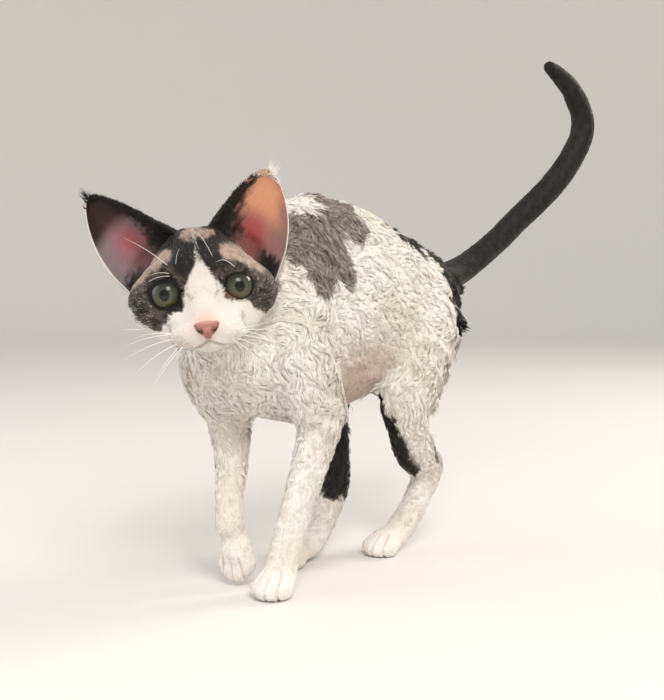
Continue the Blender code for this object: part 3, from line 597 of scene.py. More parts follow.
# The trunk, the limbs and the tail: white, then each mark laid over the ones before
def bodyColours(points, frayed, onHead, tone):
    y, z = points[:, 1], points[:, 2]
    colours = blend(tone["white"], tone["cream"], 0.5 + 0.5 * np.clip(ripple(points, 38, 3), -1, 1))
    back = np.interp(y, *marks["back"])
    height = np.where(points[:, 0] > np.interp(y, *marks["spine"]), frayed[:, 2], 2 * back - frayed[:, 2])
    overBack = np.stack([frayed[:, 1], height], axis=1)
    region = regionOf(points)
    limb = regionIs(region, "fore", "hind", "paw")
    offHead = 1 - smoothStep(0.2, 0.6, onHead)

    # Bare belly and inner flank, where the down is thin
    colours = blend(colours, tone["belly"], 0.8 * (bareness(points) * ~limb))

    # Saddle on the shoulders, combed into darker strands that run down and back
    saddle = patch(overBack, marks["shoulder"], -1.2, 1.4)
    saddle *= offHead * ~(limb & (z < 165))
    strand = np.sin((0.62 * y + 0.78 * z) * 2 * math.pi / 4.3 + 2.4 * ripple(points, 24, 5))
    strand = np.clip(0.42 + 0.4 * strand + 0.45 * ripple(points, 5, 6), 0, 1)
    colours = blend(colours, blend(tone["taupe"], tone["taupeDark"], strand), saddle)

    # Black on the rump, the right flank and the tail
    rump = patch(overBack, marks["rump"], -1.5, 1.5)
    rump = np.maximum(rump, patch(overBack, marks["rightFlank"], -2, 2))
    dark = np.maximum(rump * offHead, regionIs(region, "tail") * smoothStep(205, 222, y))
    # The right hind leg is black down to its foot
    legLine = frayed[:, 2] + 0.16 * (frayed[:, 1] - 110)
    thigh = 1 - smoothStep(136, 146, frayed[:, 2] - 0.35 * (y - 140))
    dark = np.maximum(dark, regionIs(region, "hindRight", "pawHindRight") * smoothStep(36, 40, legLine) * thigh)
    # Front and inside of the left shank, and painted shade behind its hock
    away, _ = lineDistance(frayed, marks["shank"])
    inner = 1 - smoothStep(29, 34, points[:, 0])
    dark = np.maximum(dark, regionIs(region, "hindLeft") * (1 - smoothStep(9.5, 12.5, away)) * inner)
    away, _ = lineDistance(points, marks["hock"])
    dark = np.maximum(dark, 0.8 * (1 - smoothStep(3, 5.5, away)) * (points[:, 0] > 26))
    middle, size = (np.array(value) for value in marks["rumpTuft"])
    tuft = np.linalg.norm((points - middle) / size, axis=1)
    dark *= 1 - (1 - smoothStep(0.7, 1.2, tuft)) * (points[:, 0] > 0)
    shade = blend(tone["black"], tone["brown"], np.clip(0.35 + 0.5 * ripple(points, 6, 8), 0, 1))
    return blend(colours, shade, dark)


# The mask of the face: black, streaked with brown-grey, with tan over the brows and on the crown
def maskColours(points, head, faceOn, tone):
    # Streaks that run out from the nose: noise on the direction from it, four times as long as wide
    fromNose = head - np.array(body["noseRoot"])
    streaked = unit(fromNose) * 30 + np.linalg.norm(fromNose, axis=1, keepdims=True) * np.array([0.05, 0.22, 0.1])
    mottle = np.clip(0.42 + 0.55 * ripple(streaked, 2.8, 21) + 0.45 * ripple(streaked, 1.4, 22), 0, 1)
    forehead = smoothStep(9, 14, head[:, 2]) * (1 - smoothStep(12, 17, np.abs(head[:, 0])))
    grey = mottle * (1 - 0.85 * forehead) * (1 - 0.7 * smoothStep(14, 24, head[:, 2]))
    colours = blend(tone["black"], tone["mask"], grey)
    tabby = np.maximum(patch(faceOn, marks["browRight"], -1.0, 1.2), patch(faceOn, marks["browLeft"], -1.0, 1.2))
    tabby = np.maximum(tabby, patch(faceOn, marks["crown"], -0.8, 0.8)) * (head[:, 1] < 12)
    colours = blend(colours, blend(tone["tan"], tone["mask"], 0.45 * mottle), tabby)
    return blend(colours, tone["black"], 0.9 * smoothStep(0.35, 0.8, earFoot(head)))


# The face over the body's colours: the mask, pink about the nose, the lips and the rims of the lids
def faceColours(points, frayed, onHead, tone, colours):
    head = toHead(points)
    faceOn = toHead(frayed)[:, [0, 2]] * 0.45 + head[:, [0, 2]] * 0.55
    front = smoothStep(0.25, 0.6, onHead)
    sides = (polygonDistance(faceOn, marks[name]) for name in ("maskRight", "maskLeft"))
    mask = 1 - smoothStep(-0.7, 0.7, np.minimum(*sides))
    nape = smoothStep(2, 14, head[:, 1]) * smoothStep(-6, 6, head[:, 2] + 0.4 * head[:, 1])
    mask = np.maximum(mask, nape)
    # The blaze is only a few pale hairs high on the forehead
    thin = smoothStep(15.5, 20, head[:, 2]) * (np.abs(head[:, 0]) < 5) * (head[:, 1] < 4)
    mask = np.maximum(mask, thin * np.clip(0.75 + 0.4 * ripple(points, 1.8, 23), 0, 1))
    colours = blend(colours, maskColours(points, head, faceOn, tone), mask * front)
    # Painted shade: the face is made a little darker than the body, whose longer tufts shade one another; and it is
    # pink about the nose
    muzzle = np.exp(-((np.linalg.norm(head - np.array([0, -45, -14]), axis=1) / 8.5) ** 2))
    colours = colours * (1 - 0.16 * front)[:, None]
    colours = blend(colours, tone["pinkSkin"], 0.75 * muzzle * front)
    lips, _ = lineDistance(head, mouth["line"])
    colours = blend(colours, tone["lips"], 0.5 * np.exp(-((lips / 0.9) ** 2)) * front)
    # Pink skin shows between the toes
    colours = blend(colours, tone["pinkSkin"], 0.35 * toeFurrows(points))
    for side in ("left", "right"):
        across, rise, ahead, outside = fromEye(head, side)
        width = marks["linerWidth"][side]
        # The lower lid of the left eye has less of the dark rim, and its inner part is bare and pink
        width = width * (1 - (0.55 if side == "left" else 0.0) * smoothStep(2, -5, rise))
        rim = (1 - smoothStep(width * 0.7, width * 1.35, outside)) * (ahead > 0)
        bare = (0.4 if side == "left" else 0.0) * smoothStep(0, 5, across) * smoothStep(-1, -4, rise)
        colours = blend(colours, blend(tone["liner"], tone["lips"], bare), rim * front)
    return colours


# Linear colours for points in the body's frame; the marks' edges are frayed by waves of 7 and 2.6 mm
def coatColours(points):
    tone = {key: toLinear(value) for key, value in marks.items() if isinstance(value, str)}
    frayed = points + np.stack([ripple(points, 7, s) for s in (11, 12, 13)], axis=1) * 1.6
    frayed += np.stack([ripple(points, 2.6, s) for s in (14, 15, 16)], axis=1) * 0.8
    onHead = headShare(points)
    return faceColours(points, frayed, onHead, tone, bodyColours(points, frayed, onHead, tone))


# The skin, which lies inside the nodes by the depth of the coat
skin = {
    "voxel": 2.2,  # size of the body's mesh; head and paws are twice as fine, muzzle and toes four times
    "grow": 0.45,  # the nodes are grown so that the gaps between them close
    "rounds": 9,
    "depth": {
        "trunk": 1.5, "fore": ([20, 90, 130], [0.7, 1.0, 1.5]), "hind": ([20, 60, 110], [0.7, 1.1, 1.5]),
        "paw": 0.5, "tail": 1.1,
    },
    "headDepth": 0.5,
}
fleshNodes = [
    "head", "neck", "torso", "shoulder_left", "shoulder_right", "thigh_left", "thigh_right", "forearm_left",
    "forearm_right", "forepaw_left", "forepaw_right", "shank_left", "shank_right", "hindfoot_left",
    "hindfoot_right", "tail_base", "tail_middle", "tail_tip",
]


# A CAD node's points in millimetres and its triangles, with its loose corners merged
def readNode(name):
    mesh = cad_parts[name].data
    points = readPoints(mesh)
    corners = readAll(mesh.loops, "vertex_index", kind=int)
    _, first, merged = np.unique(np.round(points, 3), axis=0, return_index=True, return_inverse=True)
    triangles = merged.reshape(-1)[corners].reshape(-1, 3)
    a, b, c = triangles.T
    return points[first], triangles[(a != b) & (b != c) & (a != c)]


# Unit normals of the points: the sum of the cross products of the triangles about each
def pointNormals(points, triangles):
    a, b, c = (points[triangles[:, i]] for i in range(3))
    cross = np.cross(b - a, c - a)
    sums = [np.bincount(triangles.ravel(), np.repeat(cross[:, k], 3), len(points)) for k in range(3)]
    return unit(np.stack(sums, axis=1))


# Several nodes as one list of points and triangles, each grown along its normals
def gatherNodes(names, grow):
    allPoints, allTriangles, count = [], [], 0
    for name in names:
        points, triangles = readNode(name)
        allPoints.append(points + pointNormals(points, triangles) * grow)
        allTriangles.append(triangles + count)
        count += len(points)
    return np.vstack(allPoints), np.vstack(allTriangles)


# The outside of overlapping closed forms as one even mesh
def fuse(name, points, faces, voxelMm):
    piece = makeObject(name, points, faces)
    remesh = piece.modifiers.new("fuse", "REMESH")
    remesh.mode = "VOXEL"
    remesh.voxel_size = voxelMm / 1000
    remesh.use_smooth_shade = True
    graph = bpy.context.evaluated_depsgraph_get()
    mesh = bpy.data.meshes.new_from_object(piece.evaluated_get(graph), depsgraph=graph)
    bpy.data.objects.remove(piece)
    return addObject(name, mesh)


# Evens out a mesh: each point moves by half of the way to the mean of its neighbours, and every other round
# back a little more, so that the form keeps its size
def smoothPoints(points, edges, rounds, share=None):
    a, b = edges.T
    degree = np.maximum(np.bincount(edges.ravel(), minlength=len(points)), 1)[:, None]
    weight = 1.0 if share is None else share[:, None]
    for step in range(rounds * 2):
        sums = [np.bincount(a, p[b], len(p)) + np.bincount(b, p[a], len(p)) for p in points.T]
        total = np.stack(sums, axis=1)
        points = points + (total / degree - points) * weight * (0.5 if step % 2 == 0 else -0.52)
    return points


# Splits the faces whose corners are all inside a mask in four
def refine(piece, mask):
    bm = bmesh.new()
    bm.from_mesh(piece.data)
    bm.verts.ensure_lookup_table()
    chosen = set()
    for face in bm.faces:
        if all(mask[v.index] for v in face.verts):
            chosen.update(face.edges)
    bmesh.ops.subdivide_edges(bm, edges=list(chosen), cuts=1, use_grid_fill=True)
    bm.to_mesh(piece.data)
    bm.free()


mouthLine = [(0, -44, -21), (0, -43, -25), (3.2, -42, -27.2), (7.5, -39, -28.8), (12, -35, -28.3), (16, -29, -26)]
mouth = {"line": mouthLine}  # becomes the line on the skin
face = {
    "groove": (1.2, 0.7),  # depth and half width of the mouth line
    "lip": (0.5, 1.5),  # height and half width of the lips beside it
    # hollows of the face: place, half size and depth, mirrored
    "hollows": [
        ((17.5, -31, -15.5), 4.5, 1.2), ((13.5, -33, -8.5), 4.0, 0.7), ((8.5, -38, -4), 4.0, 0.6),
        ((30, -16, 10), 7.0, 0.8), ((0, -33, 9), 5.0, 0.7), ((24, -22, -17), 6.0, 0.7), ((9.5, -31, 17), 4.5, 0.5),
    ],
}


paws = {
    # where each palm is, its yaw to the cat's left and its pitch toes down, in degrees
    "frames": [((19, 8, 8.6), 18, 0), ((-13.5, 8.5, 23), 10, 74), ((15.5, 131, 8.5), 4, 0), ((-16, 68, 8.5), 6, 0)],
    "furrows": [(-6.6, -17.5, -4.0), (0.0, -21.5, -7.5), (6.6, -17.5, -4.0)],  # across, and from front to back
    "depth": 1.3,
    "halfWidth": 0.8,
}


# A point's place in a paw's frame: across, towards the heel, and up off the palm
def toPaw(points, place, yawAngle, pitchAngle):
    turn = Matrix.Rotation(math.radians(yawAngle), 3, "Z") @ Matrix.Rotation(math.radians(pitchAngle), 3, "X")
    return (points - np.array(place)) @ np.array(turn)


# How deep the furrows between the toes are at each point, from 0 to 1: a rounded groove across, that fades
# in at the toes' front and out over the instep
def toeFurrows(points, widthScale=1.0):
    deepest = np.zeros(len(points))
    for place, yawAngle, pitchAngle in paws["frames"]:
        inPaw = toPaw(points, place, yawAngle, pitchAngle)
        near = (np.abs(inPaw[:, 0]) < 16) & (inPaw[:, 1] > -26) & (inPaw[:, 1] < 8) & (np.abs(inPaw[:, 2]) < 14)
        for across, front, back in paws["furrows"]:
            bent = inPaw[:, 0] - across * (1 - 0.022 * (inPaw[:, 1] + 12))
            groove = np.exp(-((bent / (paws["halfWidth"] * widthScale)) ** 2))
            along = smoothStep(front - 3, front + 1, inPaw[:, 1]) * (1 - smoothStep(back - 4, back + 2, inPaw[:, 1]))
            deepest = np.maximum(deepest, groove * along * near)
    return deepest


# How deep the coat is: by the region on the body, and one depth on the head
def coatDepth(points, region, onHead):
    return byRegion(skin["depth"], region, points[:, 2]) * (1 - onHead) + skin["headDepth"] * onHead


# The face, worked into points in the head's frame along their normals. A groove or a hollow is its depth x
# exp(-(distance / half width) squared); about the eyes the skin goes down to the eyeball.
def shapeFace(head, normals, onHead, faces):
    # The mouth line is laid on the skin before it is pressed in
    surface = surfaceTree(head, faces)
    stations = np.array([(-a, b, c) for a, b, c in mouthLine[::-1]] + mouthLine, float)
    mouth["line"] = [tuple(surface.find_nearest(place)[0]) for place in alongLine(stations, 45).tolist()]
    away, _ = lineDistance(head, mouth["line"])
    groove, lip = face["groove"], face["lip"]
    push = lip[0] * np.exp(-(((away - 1.9) / lip[1]) ** 2))
    push = push - (groove[0] + lip[0]) * np.exp(-((away / groove[1]) ** 2))
    head = head + normals * (push * onHead)[:, None]
    for place, size, depth in face["hollows"]:
        reach = np.linalg.norm(head * [0, 1, 1] + np.abs(head * [1, 0, 0]) - np.array(place), axis=1)
        head = head - normals * (depth * np.exp(-((reach / size) ** 2)) * onHead)[:, None]
    for side in ("left", "right"):
        across, rise, ahead, _ = fromEye(head, side)
        offset = head - np.array(eyes["centre"][side])
        distance = np.linalg.norm(offset, axis=1)
        inside = (1 - smoothStep(8.8, 10.8, np.hypot(across, rise))) * (ahead > 0) * (distance < 16)
        target = np.minimum(distance, eyes["radius"] - 0.9)
        head = head + unit(offset) * ((target - distance) * inside)[:, None]
    # Under the nose leather the skin lies 2 mm back, so that the nostrils have depth
    noseAway = np.linalg.norm((head - np.array([0, -45.5, -17.0])) / np.array([6.6, 6.5, 4.2]), axis=1)
    return head + np.array([0, 2.2, 0]) * (1 - smoothStep(0.65, 1.0, noseAway))[:, None]


# The skin: the nodes fused, evened out and refined, then moved in along the normals by the coat's depth
def makeSkin():
    points, triangles = gatherNodes(fleshNodes + ["eye_left", "eye_right", "nose"], skin["grow"])
    piece = fuse("skin", points, triangles, skin["voxel"])
    points = smoothPoints(readPoints(piece.data), readEdges(piece.data), skin["rounds"])
    writePoints(piece.data, points)
    print("skin fused:", len(points), "points")
    # Finer on the head and the paws
    paw = (points[:, 2] < 22) | ((points[:, 2] < 40) & (points[:, 1] < 30) & (points[:, 0] < 0))
    refine(piece, (headShare(points) > 0.35) | paw)
    points = readPoints(piece.data)
    share = np.maximum(smoothStep(0.2, 0.5, headShare(points)), points[:, 2] < 40)
    points = smoothPoints(points, readEdges(piece.data), 3, share)
    writePoints(piece.data, points)
    # Finest about the muzzle and the toes
    head = toHead(points)
    onFace = np.linalg.norm(head, axis=1) < 62
    finest = (head[:, 1] < -22) & (head[:, 2] < -6) & (np.abs(head[:, 0]) < 22) & onFace
    for place, yawAngle, pitchAngle in paws["frames"]:
        x, y, z = toPaw(points, place, yawAngle, pitchAngle).T
        finest |= (np.abs(x) < 15) & (y > -25) & (y < -3) & (np.abs(z) < 12)
    refine(piece, finest)
    points = readPoints(piece.data)
    head = toHead(points)
    near = smoothStep(-16, -24, head[:, 1]) * (np.linalg.norm(head, axis=1) < 62)
    points = smoothPoints(points, readEdges(piece.data), 2, np.maximum(near, points[:, 2] < 40))
    writePoints(piece.data, points)
    normals = readNormals(piece.data)
    onHead = headShare(points)
    points = points - normals * (skin["grow"] + coatDepth(points, regionOf(points), onHead))[:, None]
    # Toes: furrows between them, and each toe a little fuller beside its furrow
    toes = paws["depth"] * toeFurrows(points) - 0.45 * toeFurrows(points, 3.2)
    points = points - normals * toes[:, None]
    head = shapeFace(toHead(points), normals @ headMatrix[:3, :3], onHead, readFaces(piece.data))
    writePoints(piece.data, np.where((onHead > 0)[:, None], fromHead(head), points))
    return piece


skinPiece = makeSkin()
skinPoints = readPoints(skinPiece.data)
skinNormals = readNormals(skinPiece.data)
paint(skinPiece, coatColours(skinPoints))
finishPiece(skinPiece, downySkin, "white_coat", *fleshNodes)
print("skin:", len(skinPoints), "points,", sum(len(p.vertices) - 2 for p in skinPiece.data.polygons), "triangles")


skinTree = surfaceTree(skinPoints, readFaces(skinPiece.data))  # in millimetres


# Moist eye: a clear cornea over a grey-green iris with gold below, so its colour lies under a sharp gloss.
# Bands by the distance from the pupil's middle, times spokes, gold with painted light below and painted shade above.
def eyePattern(tree):
    # The map's u and v are millimetres over 20 from the pupil's middle, nasal and up, plus a half
    place = addNode(tree, "UVMap", settings={"uv_map": "eyeMap"}).outputs["UV"]
    up = addNode(tree, "SeparateXYZ", links={"Vector": place}).outputs["Y"]
    centred = vectorMath(tree, "SUBTRACT", place, (0.5, 0.5, 0.0))
    bands = addNode(tree, "ValToRGB", links={"Fac": vectorMath(tree, "LENGTH", centred)})
    ramp = bands.color_ramp
    while len(ramp.elements) < len(eyes["iris"]):
        ramp.elements.new(0.5)
    for element, (at, colour) in zip(ramp.elements, eyes["iris"]):
        element.position = at
        element.color = (*toLinear(colour), 1)
    # Spokes of the iris: noise on the direction from the middle, drawn out along the radius
    values = {"Scale": 9.0, "Detail": 4.0, "Roughness": 0.65}
    spokes = addNode(tree, "TexNoise", values=values, links={"Vector": vectorMath(tree, "NORMALIZE", centred)})
    lift = mapRange(tree, spokes.outputs["Fac"], (0.3, 0.7), (0.72, 1.25))
    fibres = vectorMath(tree, "SCALE", bands.outputs["Color"], lift)
    # Painted light: the lower part of the iris turns gold and brighter, partly its own colour and partly light let in
    # by the cornea
    low = mapRange(tree, up, (0.47, 0.27), (0.0, 0.75))
    goldAndPaintedLight = mixColours(tree, low, fibres, (*toLinear(eyes["goldAndPaintedLight"]), 1), "SOFT_LIGHT")
    # Painted shade of the upper lid and the lashes of the brow: the top of the iris is darker
    shaded = vectorMath(tree, "SCALE", goldAndPaintedLight, mapRange(tree, up, (0.52, 0.82), (1.0, 0.22)))
    squeezed = vectorMath(tree, "MULTIPLY", centred, (20 / eyes["pupil"][0], 20 / eyes["pupil"][1], 0.0))
    edge = mapRange(tree, vectorMath(tree, "LENGTH", squeezed), (0.85, 1.15))
    return mixColours(tree, edge, (0.004, 0.006, 0.006, 1), shaded), None


eyeMaterial = makeMaterial(
    "moist_eye",
    {
        "Roughness": 0.4, "IOR": 1.376, "Specular IOR Level": 0.1, "Coat Weight": 1.0, "Coat Roughness": 0.02,
        "Coat IOR": 1.376,
    },
    eyePattern,
)


# Directions in the head's frame at an angle from an eye's axis and so far round from the nasal side: forward x
# cosine + sine x (nasal x cosine of the turn + up x its sine)
def eyeDirections(side, angle, turn):
    nasal, up, forward = eyeAxes(side)
    angle, turn = angle[..., None], turn[..., None]
    return np.cos(angle) * forward + np.sin(angle) * (np.cos(turn) * nasal + np.sin(turn) * up)


# An eyeball: a sphere whose front bulges by the cornea, on rings from the front pole to the back
def makeEye(side):
    nasal, up, forward = eyeAxes(side)
    radius = eyes["radius"]
    rings, around = 56, 72
    angle = np.linspace(0, math.pi, rings + 1)[1:-1]
    turn = np.arange(around) * 2 * math.pi / around
    reach = radius + eyes["bulge"] * np.exp(-((angle / math.radians(40)) ** 4))
    grid = reach[:, None, None] * eyeDirections(side, angle[:, None], turn)
    points = np.vstack([grid.reshape(-1, 3), forward * (radius + eyes["bulge"]), -forward * radius])
    front, rear, last = len(points) - 2, len(points) - 1, (rings - 2) * around
    ends = [(front, s, (s + 1) % around) for s in range(around)]
    ends += [(rear, last + (s + 1) % around, last + s) for s in range(around)]
    faces = [tuple(quad) for quad in gridFaces(rings - 1, around)] + ends
    piece = makeObject("eye_ball_" + side, fromHead(points + np.array(eyes["centre"][side])), faces)
    faceOut(piece)
    # Mapped flat from the front; the back half is mapped outside the iris
    flat = np.stack([points @ nasal, points @ up], axis=1)
    behind = (points @ forward) < 0
    flat = np.where(behind[:, None], unit(flat + 1e-6) * 9.9, flat)
    corners = readAll(piece.data.loops, "vertex_index", kind=int)
    uv = piece.data.uv_layers.new(name="eyeMap")
    uv.data.foreach_set("uv", (flat[corners] / 20 + 0.5).ravel())
    return finishPiece(piece, eyeMaterial, "eye", "eye_" + side)


# The lids: rings around the opening. From the eyeball the surface rounds over the lid's rim and then runs
# out to the skin, under which its last ring ends. Each place is a direction from the eye's middle, at an
# angle from the axis and at the distance that the skin has there.
def makeLids(side):
    centre = np.array(eyes["centre"][side])
    radius = eyes["radius"]
    around, rings = 120, 22
    turn = np.arange(around) * 2 * math.pi / around
    start = np.arcsin(np.clip(np.minimum(openingReach(turn), radius) / (radius + 0.6), 0, 0.985))
    t = np.linspace(0, 1, rings)
    ways = eyeDirections(side, start + (t**1.3)[:, None] * math.radians(36), turn)
    # Where the skin lies in each direction outside the lids
    origin = Vector(fromHead(centre))
    surface = np.full((rings, around), radius + 1.5)
    for place in np.ndindex(rings, around):
        way = Vector(headMatrix[:3, :3] @ ways[place])
        hit = skinTree.ray_cast(origin + way * 30, -way, 30)
        if hit[0] is not None:
            surface[place] = 30 - hit[3]
    rim = radius + eyes["lidThickness"]
    leave = smoothStep(0.08, 0.45, t)[:, None]
    distance = rim * (1 - leave) + np.maximum(surface, radius + 0.2) * leave
    # The first rings round over the rim, and the last two sink into the skin
    distance[0] = radius - 0.8
    distance[1] = radius + 0.45
    distance[2] = rim - 0.1
    distance[-1] -= 1.2
    distance[-2] -= 0.5
    # A closed shell: its inside follows at a lesser depth
    inner = ways[-1] * (surface[-1] - 3.5)[:, None]
    under = ways[0] * (radius - 1.6)
    layers = np.concatenate([ways * distance[:, :, None], inner[None], under[None]]) + centre
    quads = gridFaces(len(layers), around, loop=True)
    world = fromHead(layers.reshape(-1, 3))
    piece = makeObject("eyelids_" + side, world, quads)
    faceOut(piece)
    paint(piece, coatColours(world))
    finishPiece(piece, lidSkin, "white_coat")
    # Its outer face, for the fur that grows on it
    outer = quads.reshape(len(layers), around, 4)[3 : rings - 2].reshape(-1, 4)
    return world, np.vstack([outer[:, [0, 1, 2]], outer[:, [0, 2, 3]]])


# Rim of the lids: bare moist skin, darker and smoother than the face
lidSkin = makeMaterial(
    "lid_skin",
    {"Roughness": 0.5, "IOR": 1.4, "Specular IOR Level": 0.3},
    coatPattern(0.8, 0.12),
    bumpMm=0.12,
    bumpStrength=0.4,
)
lids = {}
for side in ("left", "right"):
    makeEye(side)
    lids[side] = makeLids(side)
print("eyes done")

nose = {
    # rim and deep are painted shade round the nostrils and inside them
    "voxel": 0.45, "colour": "ab736b", "pale": "c99a8e", "rim": "84504b", "deep": "1c0d0d",
    # the line of the left nostril, across and up, a comma that opens forwards and to the side
    "nostril": [(2.9, -18.6), (4.5, -18.4), (6.0, -17.2), (6.9, -15.9)],
    "nostrilDepth": 1.5, "wing": 0.25, "furrow": 0.5,
}


# Nose leather: bare, moist and pebbled skin, rose with painted shade at the nostrils, in bumps of 0.6 mm
def nosePattern(tree):
    place = addNode(tree, "TexCoord").outputs["Object"]
    pebbles = addNode(tree, "TexVoronoi", values={"Scale": 1000 / 0.6}, links={"Vector": place}).outputs["Distance"]
    return shadePaint(tree, pebbles, (0.0, 0.7), (1.05, 0.85)), pebbles


noseLeather = makeMaterial(
    "nose_leather",
    {
        "Roughness": 0.4, "IOR": 1.4, "Specular IOR Level": 0.4, "Subsurface Weight": 0.15,
        "Subsurface Scale": 0.002, "Coat Weight": 0.12, "Coat Roughness": 0.3,
    },
    nosePattern,
    bumpMm=-0.06,
    bumpStrength=0.6,
)


# The nose: its node evened out. The nostrils go back by their depth x exp(-(distance / 0.8) squared), with a
# raised wing beside them, and a furrow of the same kind runs down from the tip.
def makeNose():
    points, triangles = gatherNodes(["nose"], 0.15)
    piece = fuse("nose_pad", points, triangles, nose["voxel"])
    points = smoothPoints(readPoints(piece.data), readEdges(piece.data), 5)
    writePoints(piece.data, points)
    normals = readNormals(piece.data) @ headMatrix[:3, :3]
    head = toHead(points)
    tone = {key: toLinear(value) for key, value in nose.items() if isinstance(value, str)}
    colours = blend(tone["colour"], tone["pale"], np.clip(0.3 + 0.5 * ripple(points, 5, 31), 0, 1) * 0.6)
    for sign in (-1, 1):
        away, _ = lineDistance(head[:, [0, 2, 1]] * [1, 1, 0], [(sign * x, z, 0) for x, z in nose["nostril"]])
        depth = np.exp(-((away / 0.8) ** 2)) * (head[:, 1] < -40)
        wing = np.exp(-(((away - 1.5) / 0.8) ** 2)) * (head[:, 1] < -40)
        head = head + np.array([0, 1.0, 0]) * (depth * nose["nostrilDepth"] - wing * nose["wing"])[:, None]
        # Painted shade of the nostril hollows: darker round them and near black inside
        colours = blend(colours, tone["rim"], np.exp(-((away / 1.5) ** 2)) * 0.75)
        colours = blend(colours, tone["deep"], np.exp(-((away / 0.75) ** 2)))
    furrow = np.exp(-((head[:, 0] / 0.55) ** 2)) * smoothStep(-17.5, -19.5, head[:, 2])
    head = head - normals * (nose["furrow"] * furrow)[:, None]
    # Painted shade along the furrow
    colours = blend(colours, tone["rim"], 0.5 * furrow)
    # Its top edge fades into the skin of the bridge
    colours = blend(colours, toLinear(marks["pinkSkin"]) * 0.86, 0.85 * smoothStep(-15.2, -12.8, head[:, 2]))
    writePoints(piece.data, fromHead(head))
    paint(piece, colours)
    return finishPiece(piece, noseLeather, "nose_leather", "nose")


makeNose()
print("nose done")


# Colours of an ear by the place on its sheet. Inside: rose that reddens to the heart low in the cup, with
# veins, a furred band along the inner edge and dark fur at the root. Outside: dark fur with pale edges.
def earColours(side, around, rise, outside, points):
    tone = {key: toLinear(value) for key, value in ears["inside" + side.capitalize()].items()}
    (heartAround, heartRise), (tipLow, tipHigh), (bandRoot, bandGrowth) = ears["pattern" + side.capitalize()]
    white = toLinear(marks["white"])
    fray = 0.06 * ripple(points, 5, 41) + 0.03 * ripple(points, 2, 42)
    heart = np.exp(-(((around - heartAround) / 0.36) ** 2)) * np.exp(-(((rise - heartRise) / 0.24) ** 2))
    outward = 1 - 0.75 * smoothStep(0.35, 0.8, around) * (side == "left") * (1 - smoothStep(0.6, 0.8, rise))
    colours = blend(tone["low"], tone["tip"], smoothStep(tipLow, tipHigh, rise + 0.1 * fray) * outward)
    colours = blend(colours, tone["heart"], 0.9 * heart)
    # Painted shade deep in the cup, low at the root where the ear opens
    deepest = np.exp(-(((around - 0.18) / 0.24) ** 2)) * (1 - smoothStep(0.02, 0.16, rise))
    colours = blend(colours, tone["heart"] * 0.35, 0.7 * deepest)
    veins = np.exp(-((np.sin(around * 6 + 1.6 * ripple(points, 22, 43)) / 0.14) ** 2))
    colours = blend(colours, tone["heart"] * 0.7, 0.12 * veins * (1 - smoothStep(0.5, 0.7, rise)))
    # The furred band along the inner edge widens towards the root
    inward = -bandRoot - bandGrowth * np.clip(rise, 0, 1)
    band = 1 - smoothStep(-0.20, 0.16, around - inward + 1.2 * fray)
    if side == "left":
        band *= 1 - smoothStep(0.80, 0.90, rise + fray)
    colours = blend(colours, tone["edge"], band)
    low = (1 - smoothStep(-0.06, 0.05, rise + 0.5 * fray)) * smoothStep(0.2, 0.45, around)
    colours = blend(colours, tone["edge"], low)
    rim = smoothStep(0.93, 0.97, np.abs(around)) * ((around > 0) | (rise > 0.85) & (side == "left"))
    brown = np.clip(0.4 + 0.6 * ripple(points, 6, 44), 0, 1)
    fur = blend(toLinear(marks["black"]), toLinear(marks["brown"]), brown)
    if side == "left":
        fur = blend(fur, white, smoothStep(0.84, 0.93, rise + fray))
    fur = blend(fur, white, smoothStep(0.86, 0.95, around))
    return blend(np.where(outside[:, None], fur, colours), white, 0.85 * rim)


# Thin ear skin lit through: rose over cartilage, with fine veins and a bloom of down
earSkin = makeMaterial(
    "ear_skin",
    {
        "Roughness": 0.5, "IOR": 1.4, "Specular IOR Level": 0.35, "Sheen Weight": 0.15, "Subsurface Weight": 0.35,
        "Subsurface Scale": 0.003, "Subsurface Radius": (1.0, 0.35, 0.25),
    },
    coatPattern(1.2, 0.12),
    bumpMm=0.15,
    bumpStrength=0.4,
)


# How far places on an ear's sheet are from its edges, from 0 to 1: 1 - around to the sixth, times 1 - rise to
# the twelfth
def earFade(around, rise):
    return (1 - np.abs(around) ** 6) * (1 - np.clip(rise, 0, 1) ** 12)


